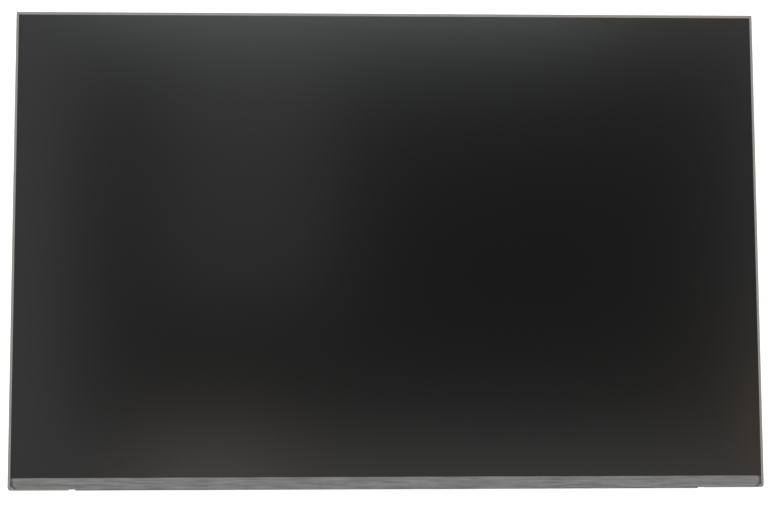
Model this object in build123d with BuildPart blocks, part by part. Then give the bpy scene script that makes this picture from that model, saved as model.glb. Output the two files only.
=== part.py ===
from build123d import *
import os

# A 14.0-inch, 16:10 laptop screen panel, lying on its back, in millimetres.
# +X is to the viewer's right, +Y towards the top of the screen, +Z out of the screen.
# The origin is under the middle of the outline, on the surface that the panel lies on.

# Outline of the module, seen from the front
OUTLINE_WIDTH = 307.0
OUTLINE_HEIGHT = 197.0
TOP_CORNER_RADIUS = 0.3
BOTTOM_CORNER_RADIUS = 1.2

# Bottom edge: a foot at each end, and between them a recess for the folded tape
FOOT_LENGTH = 24.3
RIGHT_FOOT_RELIEF = 0.25
RECESS_DEPTH = 0.4
NOTCH_WIDTH = 2.9

# Liquid crystal cell: glass, polarisers and the widths that show around the screen
RIM_WIDTH = 1.02
TOP_RIM_WIDTH = 1.17
CELL_GAP = 0.08
BOTTOM_RIM_WIDTH = 0.97
BORDER_WIDTH = 1.6
BORDER_HEIGHT = 1.1
FILTER_MARGIN = 0.4
GLASS_THICKNESS = 0.2
POLARISER_THICKNESS = 0.13
POLARISER_CORNER_CUT = 1.0
REAR_POLARISER_INSET = 0.3
GLASS_CORNER_CUT = 0.8

# Driver chips on the ledge of the array glass
CHIP_COUNT = 4
CHIP_LENGTH = 28.0
CHIP_WIDTH = 0.9
CHIP_THICKNESS = 0.2
CHIP_SETBACK = 0.3
CHIP_BOND_GAP = 0.95

# Mould frame
FRAME_WALL = 1.15
FRAME_FIT = 0.05
RAIL_WIDTH = 0.75
SHELF_THICKNESS = 0.25
SHELF_CLEARANCE = 0.05
WINDOW_MARGIN = 0.4
RIM_DROP = 0.05
RIM_EDGE_RADIUS = 0.15
RIM_TAPE_THICKNESS = 0.06
RIM_TAPE_MARGIN = 0.1

# Back plate, folded from sheet
PLATE_THICKNESS = 0.3
BEND_RADIUS = 0.2
CORNER_OPENING = 2.5
EMBOSS_DEPTH = 0.2
EMBOSS_SLOPE = 45.0
FIELD_MARGIN = 6.0
FIELD_RADIUS = 6.0
FIELD_GAP = 2.0

# Hooks of the mould frame in windows of the back plate
HOOK_LENGTH = 5.6
HOOK_HEIGHT = 0.4
HOOK_SINK = 0.05
HOOK_DRAFT = 15.0
HOOK_FIT = 0.06
SIDE_HOOK_COUNT = 4
SIDE_HOOK_PITCH = 46.0
TOP_HOOK_COUNT = 6
TOP_HOOK_PITCH = 50.0

# Backlight films and light guide
FILM_GAP = 0.2
REFLECTOR_THICKNESS = 0.12
GUIDE_THICKNESS = 0.45
DIFFUSER_THICKNESS = 0.08
PRISM_THICKNESS = 0.12

# Ears that locate the sheets in pockets of the mould frame: two left and one right on a film, so that
# it can't be laid in the wrong way round, and one on each side of the guide beside the light bar
EAR_LENGTH = 5.0
EAR_REACH = 0.6
FILM_EAR_SPACING = 92.0
GUIDE_EAR_OFFSET = 10.0

# Light bar
LED_LENGTH = 3.0
LED_DEPTH = 0.8
LED_PITCH = 5.7
LED_END_MARGIN = 4.0
LED_GAP = 0.05
LIGHT_BAR_LAP = 1.4
LIGHT_BAR_END = 2.0
LIGHT_BAR_TAPE_THICKNESS = 0.05
LIGHT_BAR_TAPE_MARGIN = 0.2

# Flexible circuits and the tape that covers them
FLEX_THICKNESS = 0.08
FLEX_GAP = 0.05
FLEX_BEND = 0.45
FLEX_BOND = 1.05
FLEX_LAP = 1.5
FLEX_WIDTH = 48.0
FLEX_SPACING = 100.0
TAIL_OFFSET = 22.0
TAIL_WIDTH = 8.0
TAIL_FIT = 0.4
TAIL_HEADROOM = 0.1
COVER_THICKNESS = 0.1
COVER_GAP = 0.05
COVER_BEND = 0.5
COVER_CREASE_GAP = 0.3
COVER_CREASE_RADIUS = 0.4
COVER_LAP = 0.6
COVER_END_GAP = 0.28
COVER_CORNER_CUT = 1.5
COVER_LIFT = 0.02

# Driver board
BOARD_THICKNESS = 0.5
BOARD_TAPE_THICKNESS = 0.06
BOARD_TAPE_INSET = 0.8
BOARD_SETBACK = 2.2
BOARD_HEIGHT = 9.0
BOARD_END_GAP = 1.3
BOARD_CORNER_RADIUS = 0.8
BOARD_HOLE_DIAMETER = 1.2
BOARD_HOLE_INSET = 2.2
TAB_MARGIN = 8.0
TAB_HEIGHT = 4.0

# Socket for the display cable: 30 contacts, open towards the bottom edge
SOCKET_OFFSET = 30.0
SOCKET_SETBACK = 5.2
SOCKET_DEPTH = 4.2
SOCKET_HEIGHT = 1.15
SOCKET_FLOOR = 0.28
SOCKET_BACK = 1.5
SOCKET_CHEEK = 1.0
CONTACT_COUNT = 30
CONTACT_PITCH = 0.5
CONTACT_WIDTH = 0.2
CONTACT_MARGIN = 0.95
CONTACT_THICKNESS = 0.1
CONTACT_SETBACK = 0.2
CONTACT_BUMP = 0.12
CONTACT_BUMP_RUN = 0.35
CONTACT_EXIT = 0.1
CONTACT_DROP_RUN = 0.15
CONTACT_TAIL = 0.6
SHELL_THICKNESS = 0.15
SHELL_FIT = 0.05
SHELL_FOOT_LENGTH = 1.2
SHELL_FOOT_WIDTH = 1.6
LATCH_LENGTH = 1.6
LATCH_WIDTH = 1.0
LATCH_INSET = 2.3

# Ground tapes from the board to the back plate
GROUND_TAPE_THICKNESS = 0.08
GROUND_TAPE_WIDTH = 12.0
GROUND_TAPE_LAP = 1.4
GROUND_TAPE_RAMP = 0.8
GROUND_TAPE_REACH = 3.4
GROUND_TAPE_PLACES = {"left": -25.0, "right": 55.0}

# Chip packages and coils on the board, placed from its left end, its middle or its right end
CONTROLLER_OFFSET = 58.0
FLASH_OFFSET = 68.5
SHIFTER_X = -6.0
REGULATOR_X = 12.0
BACKLIGHT_DRIVER_OFFSET = 45.0
BOOST_COIL_OFFSET = 37.5
BUCK_COIL_X = 18.0
DIODE_OFFSET = 32.0
FUSE_OFFSET = 7.0
CONTROLLER_SIZE = 7.5
CONTROLLER_HEIGHT = 0.85
REGULATOR_SIZE = 4.0
REGULATOR_HEIGHT = 0.75
FLASH_LENGTH = 3.0
FLASH_WIDTH = 2.0
FLASH_HEIGHT = 0.55
PACKAGE_CHAMFER = 0.08
BOOST_COIL_SIZE = 4.0
BUCK_COIL_SIZE = 3.0
COIL_HEIGHT = 1.0
COIL_RADIUS = 0.7
COIL_CHAMFER = 0.12
COIL_SHIELD_WALL = 0.4
COIL_GAP = 0.15
COIL_GAP_DEPTH = 0.25
DIODE_LENGTH = 2.6
DIODE_WIDTH = 1.6
DIODE_HEIGHT = 0.9
DIODE_DRAFT = 8.0
DIODE_LEAD_LENGTH = 0.5
DIODE_LEAD_WIDTH = 0.9
DIODE_LEAD_THICKNESS = 0.15
FUSE_LENGTH = 1.6
FUSE_WIDTH = 0.8
FUSE_HEIGHT = 0.5

# Small two-ended chips: length, width and height, pitch across and along, columns and rows, places
CAPACITOR_SIZE = (1.0, 0.5, 0.5)
RESISTOR_SIZE = (1.0, 0.5, 0.35)
BULK_CAPACITOR_SIZE = (2.0, 1.25, 0.85)
CHIP_PITCH = (1.6, 1.15)
BULK_PITCH = (2.8, 1.9)
TAB_GROUP_COUNT = (2, 5)
STRIP_GROUP_COUNT = (3, 4)
END_GROUP_COUNT = (2, 4)
BULK_GROUP_COUNT = (2, 3)
CAPACITOR_OFFSETS = (46.5, 64.2, 50.5)
CAPACITOR_X = 3.0
RESISTOR_OFFSETS = (14.0, 79.0, 12.0)
BULK_X = 24.0
BULK_OFFSET = 27.0

# Plan of the module
left_edge = -OUTLINE_WIDTH / 2
right_edge = OUTLINE_WIDTH / 2
bottom_edge = -OUTLINE_HEIGHT / 2
top_edge = OUTLINE_HEIGHT / 2
recess_end = right_edge - FOOT_LENGTH
flap_end = recess_end - NOTCH_WIDTH
recess_face = bottom_edge + RECESS_DEPTH

# Plan of the cell: the ledge holds the circuits' bonds and, above them, the chips
cell_side = right_edge - RIM_WIDTH - CELL_GAP
cell_top = top_edge - TOP_RIM_WIDTH - CELL_GAP
array_bottom = recess_face + BOTTOM_RIM_WIDTH + CELL_GAP
flex_start = array_bottom + FLEX_BOND
chip_bottom = flex_start + CHIP_BOND_GAP
chip_y = chip_bottom + CHIP_WIDTH / 2
filter_bottom = chip_bottom + CHIP_WIDTH + CHIP_SETBACK
screen_bottom = filter_bottom + FILTER_MARGIN
window_side = cell_side - BORDER_WIDTH + WINDOW_MARGIN
window_top = cell_top - BORDER_HEIGHT + WINDOW_MARGIN
window_bottom = screen_bottom + BORDER_HEIGHT - WINDOW_MARGIN

# Plan of the backlight
plate_fit = PLATE_THICKNESS + FRAME_FIT
pocket_side = right_edge - plate_fit - FRAME_WALL
pocket_top = top_edge - plate_fit - FRAME_WALL
pocket_bottom = recess_face + plate_fit + RAIL_WIDTH
film_side = pocket_side - FILM_GAP
film_top = pocket_top - FILM_GAP
led_back = pocket_bottom + LED_GAP
led_front = led_back + LED_DEPTH
guide_bottom = led_front + LED_GAP
light_bar_top = guide_bottom + LIGHT_BAR_LAP
film_bottom = light_bar_top + FILM_GAP
led_span = 2 * (film_side - LED_END_MARGIN) - LED_LENGTH
led_count = int(led_span // LED_PITCH) + 1

# Plan of the socket, with its folded shell
contact_span = (CONTACT_COUNT - 1) * CONTACT_PITCH + CONTACT_WIDTH
socket_mouth = contact_span + 2 * CONTACT_MARGIN
socket_length = socket_mouth + 2 * SOCKET_CHEEK
shell_inside = socket_length + 2 * SHELL_FIT
shell_outside = shell_inside + 2 * SHELL_THICKNESS
latch_spacing = socket_length - 2 * LATCH_INSET

# Plan of the board: a long strip, taller from the socket to the timing controller
board_end = flap_end - BOARD_END_GAP
board_bottom = bottom_edge + BOARD_SETBACK
board_top = board_bottom + BOARD_HEIGHT
tab_top = board_top + TAB_HEIGHT
socket_x = -board_end + SOCKET_OFFSET
socket_y = board_bottom + SOCKET_SETBACK + SOCKET_DEPTH / 2
controller_x = -board_end + CONTROLLER_OFFSET
tab_left = socket_x - shell_outside / 2 - SHELL_FOOT_LENGTH - TAB_MARGIN
tab_right = controller_x + CONTROLLER_SIZE / 2 + TAB_MARGIN
tail_x = board_end - TAIL_OFFSET
flex_fold = recess_face - FLEX_GAP
flex_end = board_bottom + FLEX_LAP
cover_back_end = flex_end + COVER_LAP
strip_middle = (cover_back_end + board_top) / 2
tab_middle = (cover_back_end + tab_top) / 2
field_bottom = max(tab_top, board_top + GROUND_TAPE_REACH) + FIELD_GAP
field_top = top_edge - FIELD_MARGIN

# Heights, from the surface that the module lies on up to the screen's face
board_rear_z = max(SOCKET_HEIGHT, COIL_HEIGHT, DIODE_HEIGHT, CONTROLLER_HEIGHT, REGULATOR_HEIGHT)
board_front_z = board_rear_z + BOARD_THICKNESS
plate_rear_z = board_front_z + BOARD_TAPE_THICKNESS
plate_floor_z = plate_rear_z + PLATE_THICKNESS
guide_z = plate_floor_z + REFLECTOR_THICKNESS
diffuser_z = guide_z + GUIDE_THICKNESS
lower_prism_z = diffuser_z + DIFFUSER_THICKNESS
upper_prism_z = lower_prism_z + PRISM_THICKNESS
shelf_z = upper_prism_z + PRISM_THICKNESS + SHELF_CLEARANCE
shelf_top_z = shelf_z + SHELF_THICKNESS
rear_polariser_z = shelf_top_z + RIM_TAPE_THICKNESS
array_z = rear_polariser_z + POLARISER_THICKNESS
ledge_z = array_z + GLASS_THICKNESS
front_polariser_z = ledge_z + GLASS_THICKNESS
front_z = front_polariser_z + POLARISER_THICKNESS
rim_z = front_z - RIM_DROP
light_bar_z = diffuser_z + LIGHT_BAR_TAPE_THICKNESS
cover_z = max(front_polariser_z, ledge_z + CHIP_THICKNESS)
cover_low_z = ledge_z + FLEX_THICKNESS + COVER_LIFT
hook_z = (plate_floor_z + shelf_z) / 2

os.makedirs("parts", exist_ok=True)


def write_piece(piece, name):
    """Label one finished piece with its name and write it to its own file."""
    piece.label = name
    export_step(piece, f"parts/{name}.step")


def plate_sketch(side, bottom, top):
    """A rectangle that is centred on X and runs from bottom to top along Y."""
    with BuildSketch() as sheet:
        with Locations((0, (bottom + top) / 2)):
            Rectangle(2 * side, top - bottom)
    return sheet.sketch


def outline_sketch(inset):
    """The module's outline, moved inwards by inset, with the recess between the feet."""
    with BuildSketch() as outline:
        Rectangle(OUTLINE_WIDTH - 2 * inset, OUTLINE_HEIGHT - 2 * inset)
        with Locations((0, bottom_edge)):
            Rectangle(2 * (recess_end + inset), 2 * (RECESS_DEPTH + inset), mode=Mode.SUBTRACT)
        with Locations((right_edge, bottom_edge)):
            Rectangle(2 * FOOT_LENGTH, 2 * (RIGHT_FOOT_RELIEF + inset), mode=Mode.SUBTRACT)
    return outline.sketch


def corner_squares(size):
    """A square of the given size inside each corner of the module's bounding rectangle."""
    with BuildSketch() as squares:
        with GridLocations(OUTLINE_WIDTH, OUTLINE_HEIGHT, 2, 2):
            Rectangle(2 * size, 2 * size)
    return squares.sketch


def hook_sketches(length, height):
    """Hook outlines for a side wall, in Y and Z, and for the top wall, in Z and X."""
    with BuildSketch() as side:
        with Locations((0, hook_z)):
            with GridLocations(SIDE_HOOK_PITCH, 0, SIDE_HOOK_COUNT, 1):
                Rectangle(length, height)
    with BuildSketch() as top:
        with Locations((hook_z, 0)):
            with GridLocations(0, TOP_HOOK_PITCH, 1, TOP_HOOK_COUNT):
                Rectangle(height, length)
    return side.sketch, top.sketch


def eared_sketch(sheet, ear_places, clearance):
    """A sheet's plan, or with a clearance its pocket's, with an ear at each of the given places."""
    with BuildSketch() as eared:
        add(sheet)
        with Locations(ear_places):
            Rectangle(2 * (EAR_REACH + clearance), EAR_LENGTH + 2 * clearance)
    return eared.sketch


def film(name, sketch, z, thickness):
    """Write one flat film or glass sheet of the given plan."""
    with BuildPart() as sheet:
        with BuildSketch(Plane.XY.offset(z)):
            add(sketch)
        extrude(amount=thickness)
    write_piece(sheet.part, name)


# Outline with its rounded corners
with BuildSketch() as module_outline:
    add(outline_sketch(0))
    fillet(module_outline.vertices().group_by(Axis.Y)[-1], TOP_CORNER_RADIUS)
    fillet(module_outline.vertices().group_by(Axis.X)[0].sort_by(Axis.Y)[0], BOTTOM_CORNER_RADIUS)
    fillet(module_outline.vertices().group_by(Axis.X)[-1].sort_by(Axis.Y)[0], BOTTOM_CORNER_RADIUS)

# Cell: two sheets of glass between two polarisers
with BuildSketch() as front_plan:
    add(plate_sketch(cell_side, screen_bottom, cell_top))
    chamfer(front_plan.vertices().group_by(Axis.X)[-1].sort_by(Axis.Y)[-1], POLARISER_CORNER_CUT)
film("front_polariser", front_plan.sketch, front_polariser_z, POLARISER_THICKNESS)

film("colour_filter_glass", plate_sketch(cell_side, filter_bottom, cell_top), ledge_z, GLASS_THICKNESS)

with BuildSketch() as array_plan:
    add(plate_sketch(cell_side, array_bottom, cell_top))
    chamfer(array_plan.vertices().group_by(Axis.Y)[0], GLASS_CORNER_CUT)
film("array_glass", array_plan.sketch, array_z, GLASS_THICKNESS)

rear_side = cell_side - REAR_POLARISER_INSET
rear_top = cell_top - REAR_POLARISER_INSET
rear_plan = plate_sketch(rear_side, screen_bottom, rear_top)
film("rear_polariser", rear_plan, rear_polariser_z, POLARISER_THICKNESS)

# Driver chips in a row on the ledge
chip_pitch = 2 * cell_side / CHIP_COUNT
for chip_index in range(CHIP_COUNT):
    chip_x = (chip_index - (CHIP_COUNT - 1) / 2) * chip_pitch
    with BuildPart() as source_driver:
        with BuildSketch(Plane.XY.offset(ledge_z)):
            with Locations((chip_x, chip_y)):
                Rectangle(CHIP_LENGTH, CHIP_WIDTH)
        extrude(amount=CHIP_THICKNESS)
    write_piece(source_driver.part, f"source_driver_{chip_index + 1}")

# Black tape between the frame's shelf and the rear polariser
rim_window = plate_sketch(
    window_side + RIM_TAPE_MARGIN, window_bottom - RIM_TAPE_MARGIN, window_top + RIM_TAPE_MARGIN
)
with BuildSketch() as rim_tape_plan:
    add(rear_plan)
    add(rim_window, mode=Mode.SUBTRACT)
film("rim_tape", rim_tape_plan.sketch, shelf_top_z, RIM_TAPE_THICKNESS)

# Backlight: films over the light guide, reflector under it
film_ears = (
    (-film_side, -FILM_EAR_SPACING / 2),
    (-film_side, FILM_EAR_SPACING / 2),
    (film_side, 0),
)
guide_ear_y = guide_bottom + GUIDE_EAR_OFFSET
guide_ears = ((-film_side, guide_ear_y), (film_side, guide_ear_y))
film_plan = eared_sketch(plate_sketch(film_side, film_bottom, film_top), film_ears, 0)
guide_plan = eared_sketch(plate_sketch(film_side, guide_bottom, film_top), guide_ears, 0)
film("upper_prism_sheet", film_plan, upper_prism_z, PRISM_THICKNESS)
film("lower_prism_sheet", film_plan, lower_prism_z, PRISM_THICKNESS)
film("diffuser_sheet", film_plan, diffuser_z, DIFFUSER_THICKNESS)
film("light_guide_plate", guide_plan, guide_z, GUIDE_THICKNESS)
film("reflector_sheet", guide_plan, plate_floor_z, REFLECTOR_THICKNESS)

# Light bar: a flexible circuit on the guide's edge, with the diodes under it
light_bar_side = film_side - LIGHT_BAR_END
light_bar_tape_plan = plate_sketch(
    light_bar_side, guide_bottom + LIGHT_BAR_TAPE_MARGIN, light_bar_top - LIGHT_BAR_TAPE_MARGIN
)
film("light_bar_tape", light_bar_tape_plan, diffuser_z, LIGHT_BAR_TAPE_THICKNESS)

with BuildPart() as leds:
    with BuildSketch(Plane.XY.offset(guide_z)):
        with Locations((0, (led_back + led_front) / 2)):
            with GridLocations(LED_PITCH, 0, led_count, 1):
                Rectangle(LED_LENGTH, LED_DEPTH)
    extrude(amount=light_bar_z - guide_z)
write_piece(leds.part, "leds")


def fold_profile(start, start_z, end):
    """Section, in Y and Z, of a circuit from start_z round the bottom edge to the board's rear face."""
    with BuildSketch() as section:
        with BuildLine():
            FilletPolyline(
                (start, start_z),
                (flex_fold, start_z),
                (flex_fold, board_rear_z),
                (end, board_rear_z),
                radius=FLEX_BEND,
            )
            offset(amount=FLEX_THICKNESS, side=Side.RIGHT)
        make_face()
    return section.sketch


with BuildPart() as led_flex:
    with BuildSketch(Plane.XY.offset(light_bar_z)):
        add(plate_sketch(light_bar_side, led_back, light_bar_top))
    extrude(amount=FLEX_THICKNESS)
    with BuildSketch(Plane.YZ.offset(tail_x)):
        add(fold_profile(led_front, light_bar_z, flex_end))
    extrude(amount=TAIL_WIDTH / 2, both=True)
write_piece(led_flex.part, "led_flex")

# Flexible circuits from the glass ledge to the board
for side_name, side_sign in (("left", -1), ("right", 1)):
    with BuildPart() as panel_flex:
        with BuildSketch(Plane.YZ.offset(side_sign * FLEX_SPACING / 2)):
            add(fold_profile(flex_start, ledge_z, flex_end))
        extrude(amount=FLEX_WIDTH / 2, both=True)
    write_piece(panel_flex.part, f"panel_flex_{side_name}")

# Mould frame: wall round the films, shelf under the cell, rim round the cell
rim_plan = plate_sketch(cell_side + CELL_GAP, array_bottom - CELL_GAP, cell_top + CELL_GAP)
pocket_plan = eared_sketch(
    plate_sketch(pocket_side, pocket_bottom, pocket_top), film_ears + guide_ears, FILM_GAP
)
window_plan = plate_sketch(window_side, window_bottom, window_top)
frame_side = right_edge - plate_fit
frame_top = top_edge - plate_fit
hook_reach = plate_fit - HOOK_SINK
tail_slot = TAIL_WIDTH + 2 * TAIL_FIT
side_hooks, top_hooks = hook_sketches(HOOK_LENGTH, HOOK_HEIGHT)

with BuildPart() as mould_frame:
    with BuildSketch(Plane.XY.offset(plate_floor_z)):
        add(outline_sketch(plate_fit))
        add(pocket_plan, mode=Mode.SUBTRACT)
    extrude(amount=shelf_z - plate_floor_z)
    with BuildSketch(Plane.XY.offset(plate_floor_z)):
        add(corner_squares(CORNER_OPENING - FRAME_FIT))
        add(module_outline.sketch, mode=Mode.INTERSECT)
        add(pocket_plan, mode=Mode.SUBTRACT)
    extrude(amount=shelf_z - plate_floor_z)
    with BuildSketch(Plane.XY.offset(shelf_z)):
        add(module_outline.sketch)
        add(window_plan, mode=Mode.SUBTRACT)
    extrude(amount=SHELF_THICKNESS)
    with BuildSketch(Plane.XY.offset(shelf_top_z)):
        add(module_outline.sketch)
        add(rim_plan, mode=Mode.SUBTRACT)
    extrude(amount=rim_z - shelf_top_z)
    rim_face = mould_frame.faces().sort_by(Axis.Z)[-1]
    fillet(rim_face.outer_wire().edges(), RIM_EDGE_RADIUS)
    # The bottom rim is low where the circuits pass, and carries the cover tape beside them
    with BuildSketch(Plane.XY.offset(shelf_top_z)):
        add(plate_sketch(recess_end, bottom_edge, array_bottom))
    extrude(amount=rim_z - shelf_top_z, mode=Mode.SUBTRACT)
    with BuildSketch(Plane.XY.offset(cover_low_z)):
        add(plate_sketch(cell_side + CELL_GAP, bottom_edge, array_bottom))
    extrude(amount=rim_z - cover_low_z, mode=Mode.SUBTRACT)
    # Slot for the light bar's tail
    with BuildSketch(Plane.XY.offset(light_bar_z - TAIL_HEADROOM)):
        with Locations((tail_x, (bottom_edge + pocket_bottom) / 2)):
            Rectangle(tail_slot, pocket_bottom - bottom_edge)
    extrude(amount=FLEX_THICKNESS + 2 * TAIL_HEADROOM, mode=Mode.SUBTRACT)
    # Hooks on both sides and along the top
    with BuildSketch(Plane.YZ.offset(frame_side)):
        add(side_hooks)
    extrude(amount=hook_reach, taper=HOOK_DRAFT)
    with BuildSketch(Plane.YZ.offset(-frame_side)):
        add(side_hooks)
    extrude(amount=-hook_reach, taper=HOOK_DRAFT)
    with BuildSketch(Plane.ZX.offset(frame_top)):
        add(top_hooks)
    extrude(amount=hook_reach, taper=HOOK_DRAFT)
write_piece(mould_frame.part, "mould_frame")

# Back plate: a shallow folded tray with open corners, windows for the hooks and an embossed field
side_windows, top_windows = hook_sketches(HOOK_LENGTH + 2 * HOOK_FIT, HOOK_HEIGHT + 2 * HOOK_FIT)
with BuildSketch() as field_plan:
    with Locations((0, (field_bottom + field_top) / 2)):
        RectangleRounded(OUTLINE_WIDTH - 2 * FIELD_MARGIN, field_top - field_bottom, FIELD_RADIUS)

with BuildPart() as back_plate:
    with BuildSketch(Plane.XY.offset(plate_rear_z)):
        add(module_outline.sketch)
    extrude(amount=shelf_z - plate_rear_z)
    fillet(back_plate.faces().sort_by(Axis.Z)[0].edges(), BEND_RADIUS)
    with BuildSketch(Plane.XY.offset(plate_floor_z)):
        add(outline_sketch(PLATE_THICKNESS))
        add(corner_squares(CORNER_OPENING))
    extrude(amount=shelf_z - plate_floor_z, mode=Mode.SUBTRACT)
    with BuildSketch(Plane.XY.offset(plate_rear_z)):
        add(field_plan.sketch)
    extrude(amount=-EMBOSS_DEPTH, taper=EMBOSS_SLOPE)
    with BuildSketch(Plane.XY.offset(plate_floor_z)):
        add(field_plan.sketch)
    extrude(amount=-EMBOSS_DEPTH, taper=EMBOSS_SLOPE, mode=Mode.SUBTRACT)
    with BuildSketch(Plane.YZ.offset(right_edge)):
        add(side_windows)
    extrude(amount=-PLATE_THICKNESS, mode=Mode.SUBTRACT)
    with BuildSketch(Plane.YZ.offset(left_edge)):
        add(side_windows)
    extrude(amount=PLATE_THICKNESS, mode=Mode.SUBTRACT)
    with BuildSketch(Plane.ZX.offset(top_edge)):
        add(top_windows)
    extrude(amount=-PLATE_THICKNESS, mode=Mode.SUBTRACT)
    # Notch for the light bar's tail, down past the tail's bend
    tail_notch_z = light_bar_z - FLEX_BEND - FLEX_GAP
    with BuildSketch(Plane.XY.offset(tail_notch_z)):
        with Locations((tail_x, recess_face + PLATE_THICKNESS / 2)):
            Rectangle(tail_slot, PLATE_THICKNESS)
    extrude(amount=shelf_z - tail_notch_z, mode=Mode.SUBTRACT)
write_piece(back_plate.part, "back_plate")

# Cover tape: over the chips, down to the circuits, round the bottom edge and onto the board
cover_top = screen_bottom - COVER_GAP
crease_top = chip_bottom - COVER_CREASE_GAP
cover_fold = bottom_edge + COVER_THICKNESS
cover_end = cell_side + CELL_GAP - COVER_END_GAP
cover_back_z = board_rear_z - FLEX_THICKNESS
cover_end_bottom = cover_fold + COVER_BEND

with BuildPart() as ledge_cover_tape:
    with BuildSketch(Plane.YZ):
        with BuildLine():
            FilletPolyline(
                (cover_top, cover_z),
                (crease_top, cover_z),
                (flex_start, cover_low_z),
                (cover_fold, cover_low_z),
                (cover_fold, cover_back_z),
                (cover_back_end, cover_back_z),
                radius=(COVER_CREASE_RADIUS, COVER_CREASE_RADIUS, COVER_BEND, COVER_BEND),
            )
            offset(amount=COVER_THICKNESS, side=Side.RIGHT)
        make_face()
    extrude(amount=cover_end, both=True)
    # Only the middle is folded round: the ends stop short of the feet, with cut corners
    with BuildSketch() as cover_plan:
        add(plate_sketch(cover_end, cover_end_bottom, cover_top))
        chamfer(cover_plan.vertices().group_by(Axis.Y)[0], COVER_CORNER_CUT)
        add(plate_sketch(flap_end, bottom_edge, cover_top))
    extrude(amount=front_z, mode=Mode.INTERSECT)
    with BuildSketch() as back_ends:
        add(plate_sketch(cover_end, cover_end_bottom, cover_top))
        add(plate_sketch(flap_end, cover_end_bottom, cover_top), mode=Mode.SUBTRACT)
    extrude(amount=plate_rear_z, mode=Mode.SUBTRACT)
write_piece(ledge_cover_tape.part, "ledge_cover_tape")

# Driver board with a taller part behind the socket and the timing controller
with BuildSketch() as board_plan:
    add(plate_sketch(board_end, board_bottom, board_top))
    with Locations(((tab_left + tab_right) / 2, (board_bottom + tab_top) / 2)):
        Rectangle(tab_right - tab_left, tab_top - board_bottom)
    fillet(board_plan.vertices(), BOARD_CORNER_RADIUS)
    with Locations((0, strip_middle)):
        with GridLocations(2 * (board_end - BOARD_HOLE_INSET), 0, 2, 1):
            Circle(BOARD_HOLE_DIAMETER / 2, mode=Mode.SUBTRACT)
film("driver_board", board_plan.sketch, board_rear_z, BOARD_THICKNESS)

board_tape_plan = plate_sketch(
    board_end - BOARD_TAPE_INSET, board_bottom + BOARD_TAPE_INSET, board_top - BOARD_TAPE_INSET
)
film("board_tape", board_tape_plan, board_front_z, BOARD_TAPE_THICKNESS)


def board_plane(x, y):
    """Plane on the board's rear face: its Z points away from the board, its Y to the bottom edge."""
    return Plane(origin=(x, y, board_rear_z), x_dir=(1, 0, 0), z_dir=(0, 0, -1))


# Cable socket: housing with a groove for each contact
socket_plane = board_plane(socket_x, socket_y)
housing_height = SOCKET_HEIGHT - SHELL_THICKNESS
groove_floor = SOCKET_FLOOR - CONTACT_THICKNESS

with BuildPart() as socket_housing:
    with BuildSketch(socket_plane):
        Rectangle(socket_length, SOCKET_DEPTH)
    extrude(amount=housing_height)
    with BuildSketch(socket_plane.offset(SOCKET_FLOOR)):
        with Locations((0, SOCKET_BACK / 2)):
            Rectangle(socket_mouth, SOCKET_DEPTH - SOCKET_BACK)
    extrude(amount=housing_height - SOCKET_FLOOR, mode=Mode.SUBTRACT)
    with BuildSketch(socket_plane.offset(groove_floor)):
        with GridLocations(CONTACT_PITCH, 0, CONTACT_COUNT, 1):
            Rectangle(CONTACT_WIDTH, SOCKET_DEPTH)
    extrude(amount=CONTACT_THICKNESS, mode=Mode.SUBTRACT)
write_piece(socket_housing.part, "socket_housing")

# Contacts: a strip in each groove with a raised contact point and a tail bent down to the board
contact_plane = Plane(origin=socket_plane.origin, x_dir=(0, -1, 0), z_dir=(1, 0, 0))
contact_front = SOCKET_DEPTH / 2 - CONTACT_SETBACK
contact_exit = -SOCKET_DEPTH / 2 - CONTACT_EXIT
with BuildPart() as contact:
    with BuildSketch(contact_plane):
        with BuildLine():
            Polyline(
                (contact_front, groove_floor),
                (contact_front - CONTACT_BUMP_RUN, groove_floor),
                (contact_front - 2 * CONTACT_BUMP_RUN, groove_floor + CONTACT_BUMP),
                (contact_front - 3 * CONTACT_BUMP_RUN, groove_floor),
                (contact_exit, groove_floor),
                (contact_exit - CONTACT_DROP_RUN, 0),
                (contact_exit - CONTACT_DROP_RUN - CONTACT_TAIL, 0),
            )
            offset(amount=CONTACT_THICKNESS, side=Side.RIGHT, kind=Kind.INTERSECTION)
        make_face()
    extrude(amount=CONTACT_WIDTH / 2, both=True)

with BuildPart() as socket_contacts:
    with GridLocations(CONTACT_PITCH, 0, CONTACT_COUNT, 1):
        add(contact.part)
write_piece(socket_contacts.part, "socket_contacts")

# Shell: folded steel roof and side walls with soldered feet and two latch windows
with BuildPart() as socket_shell:
    with BuildSketch(socket_plane):
        Rectangle(shell_outside, SOCKET_DEPTH)
    extrude(amount=SOCKET_HEIGHT)
    with BuildSketch(socket_plane):
        Rectangle(shell_inside, SOCKET_DEPTH)
    extrude(amount=housing_height, mode=Mode.SUBTRACT)
    with BuildSketch(socket_plane):
        with GridLocations(shell_outside + SHELL_FOOT_LENGTH, 0, 2, 1):
            Rectangle(SHELL_FOOT_LENGTH, SHELL_FOOT_WIDTH)
    extrude(amount=SHELL_THICKNESS)
    with BuildSketch(socket_plane.offset(housing_height)):
        with GridLocations(latch_spacing, 0, 2, 1):
            Rectangle(LATCH_LENGTH, LATCH_WIDTH)
    extrude(amount=SHELL_THICKNESS, mode=Mode.SUBTRACT)
write_piece(socket_shell.part, "socket_shell")

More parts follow.
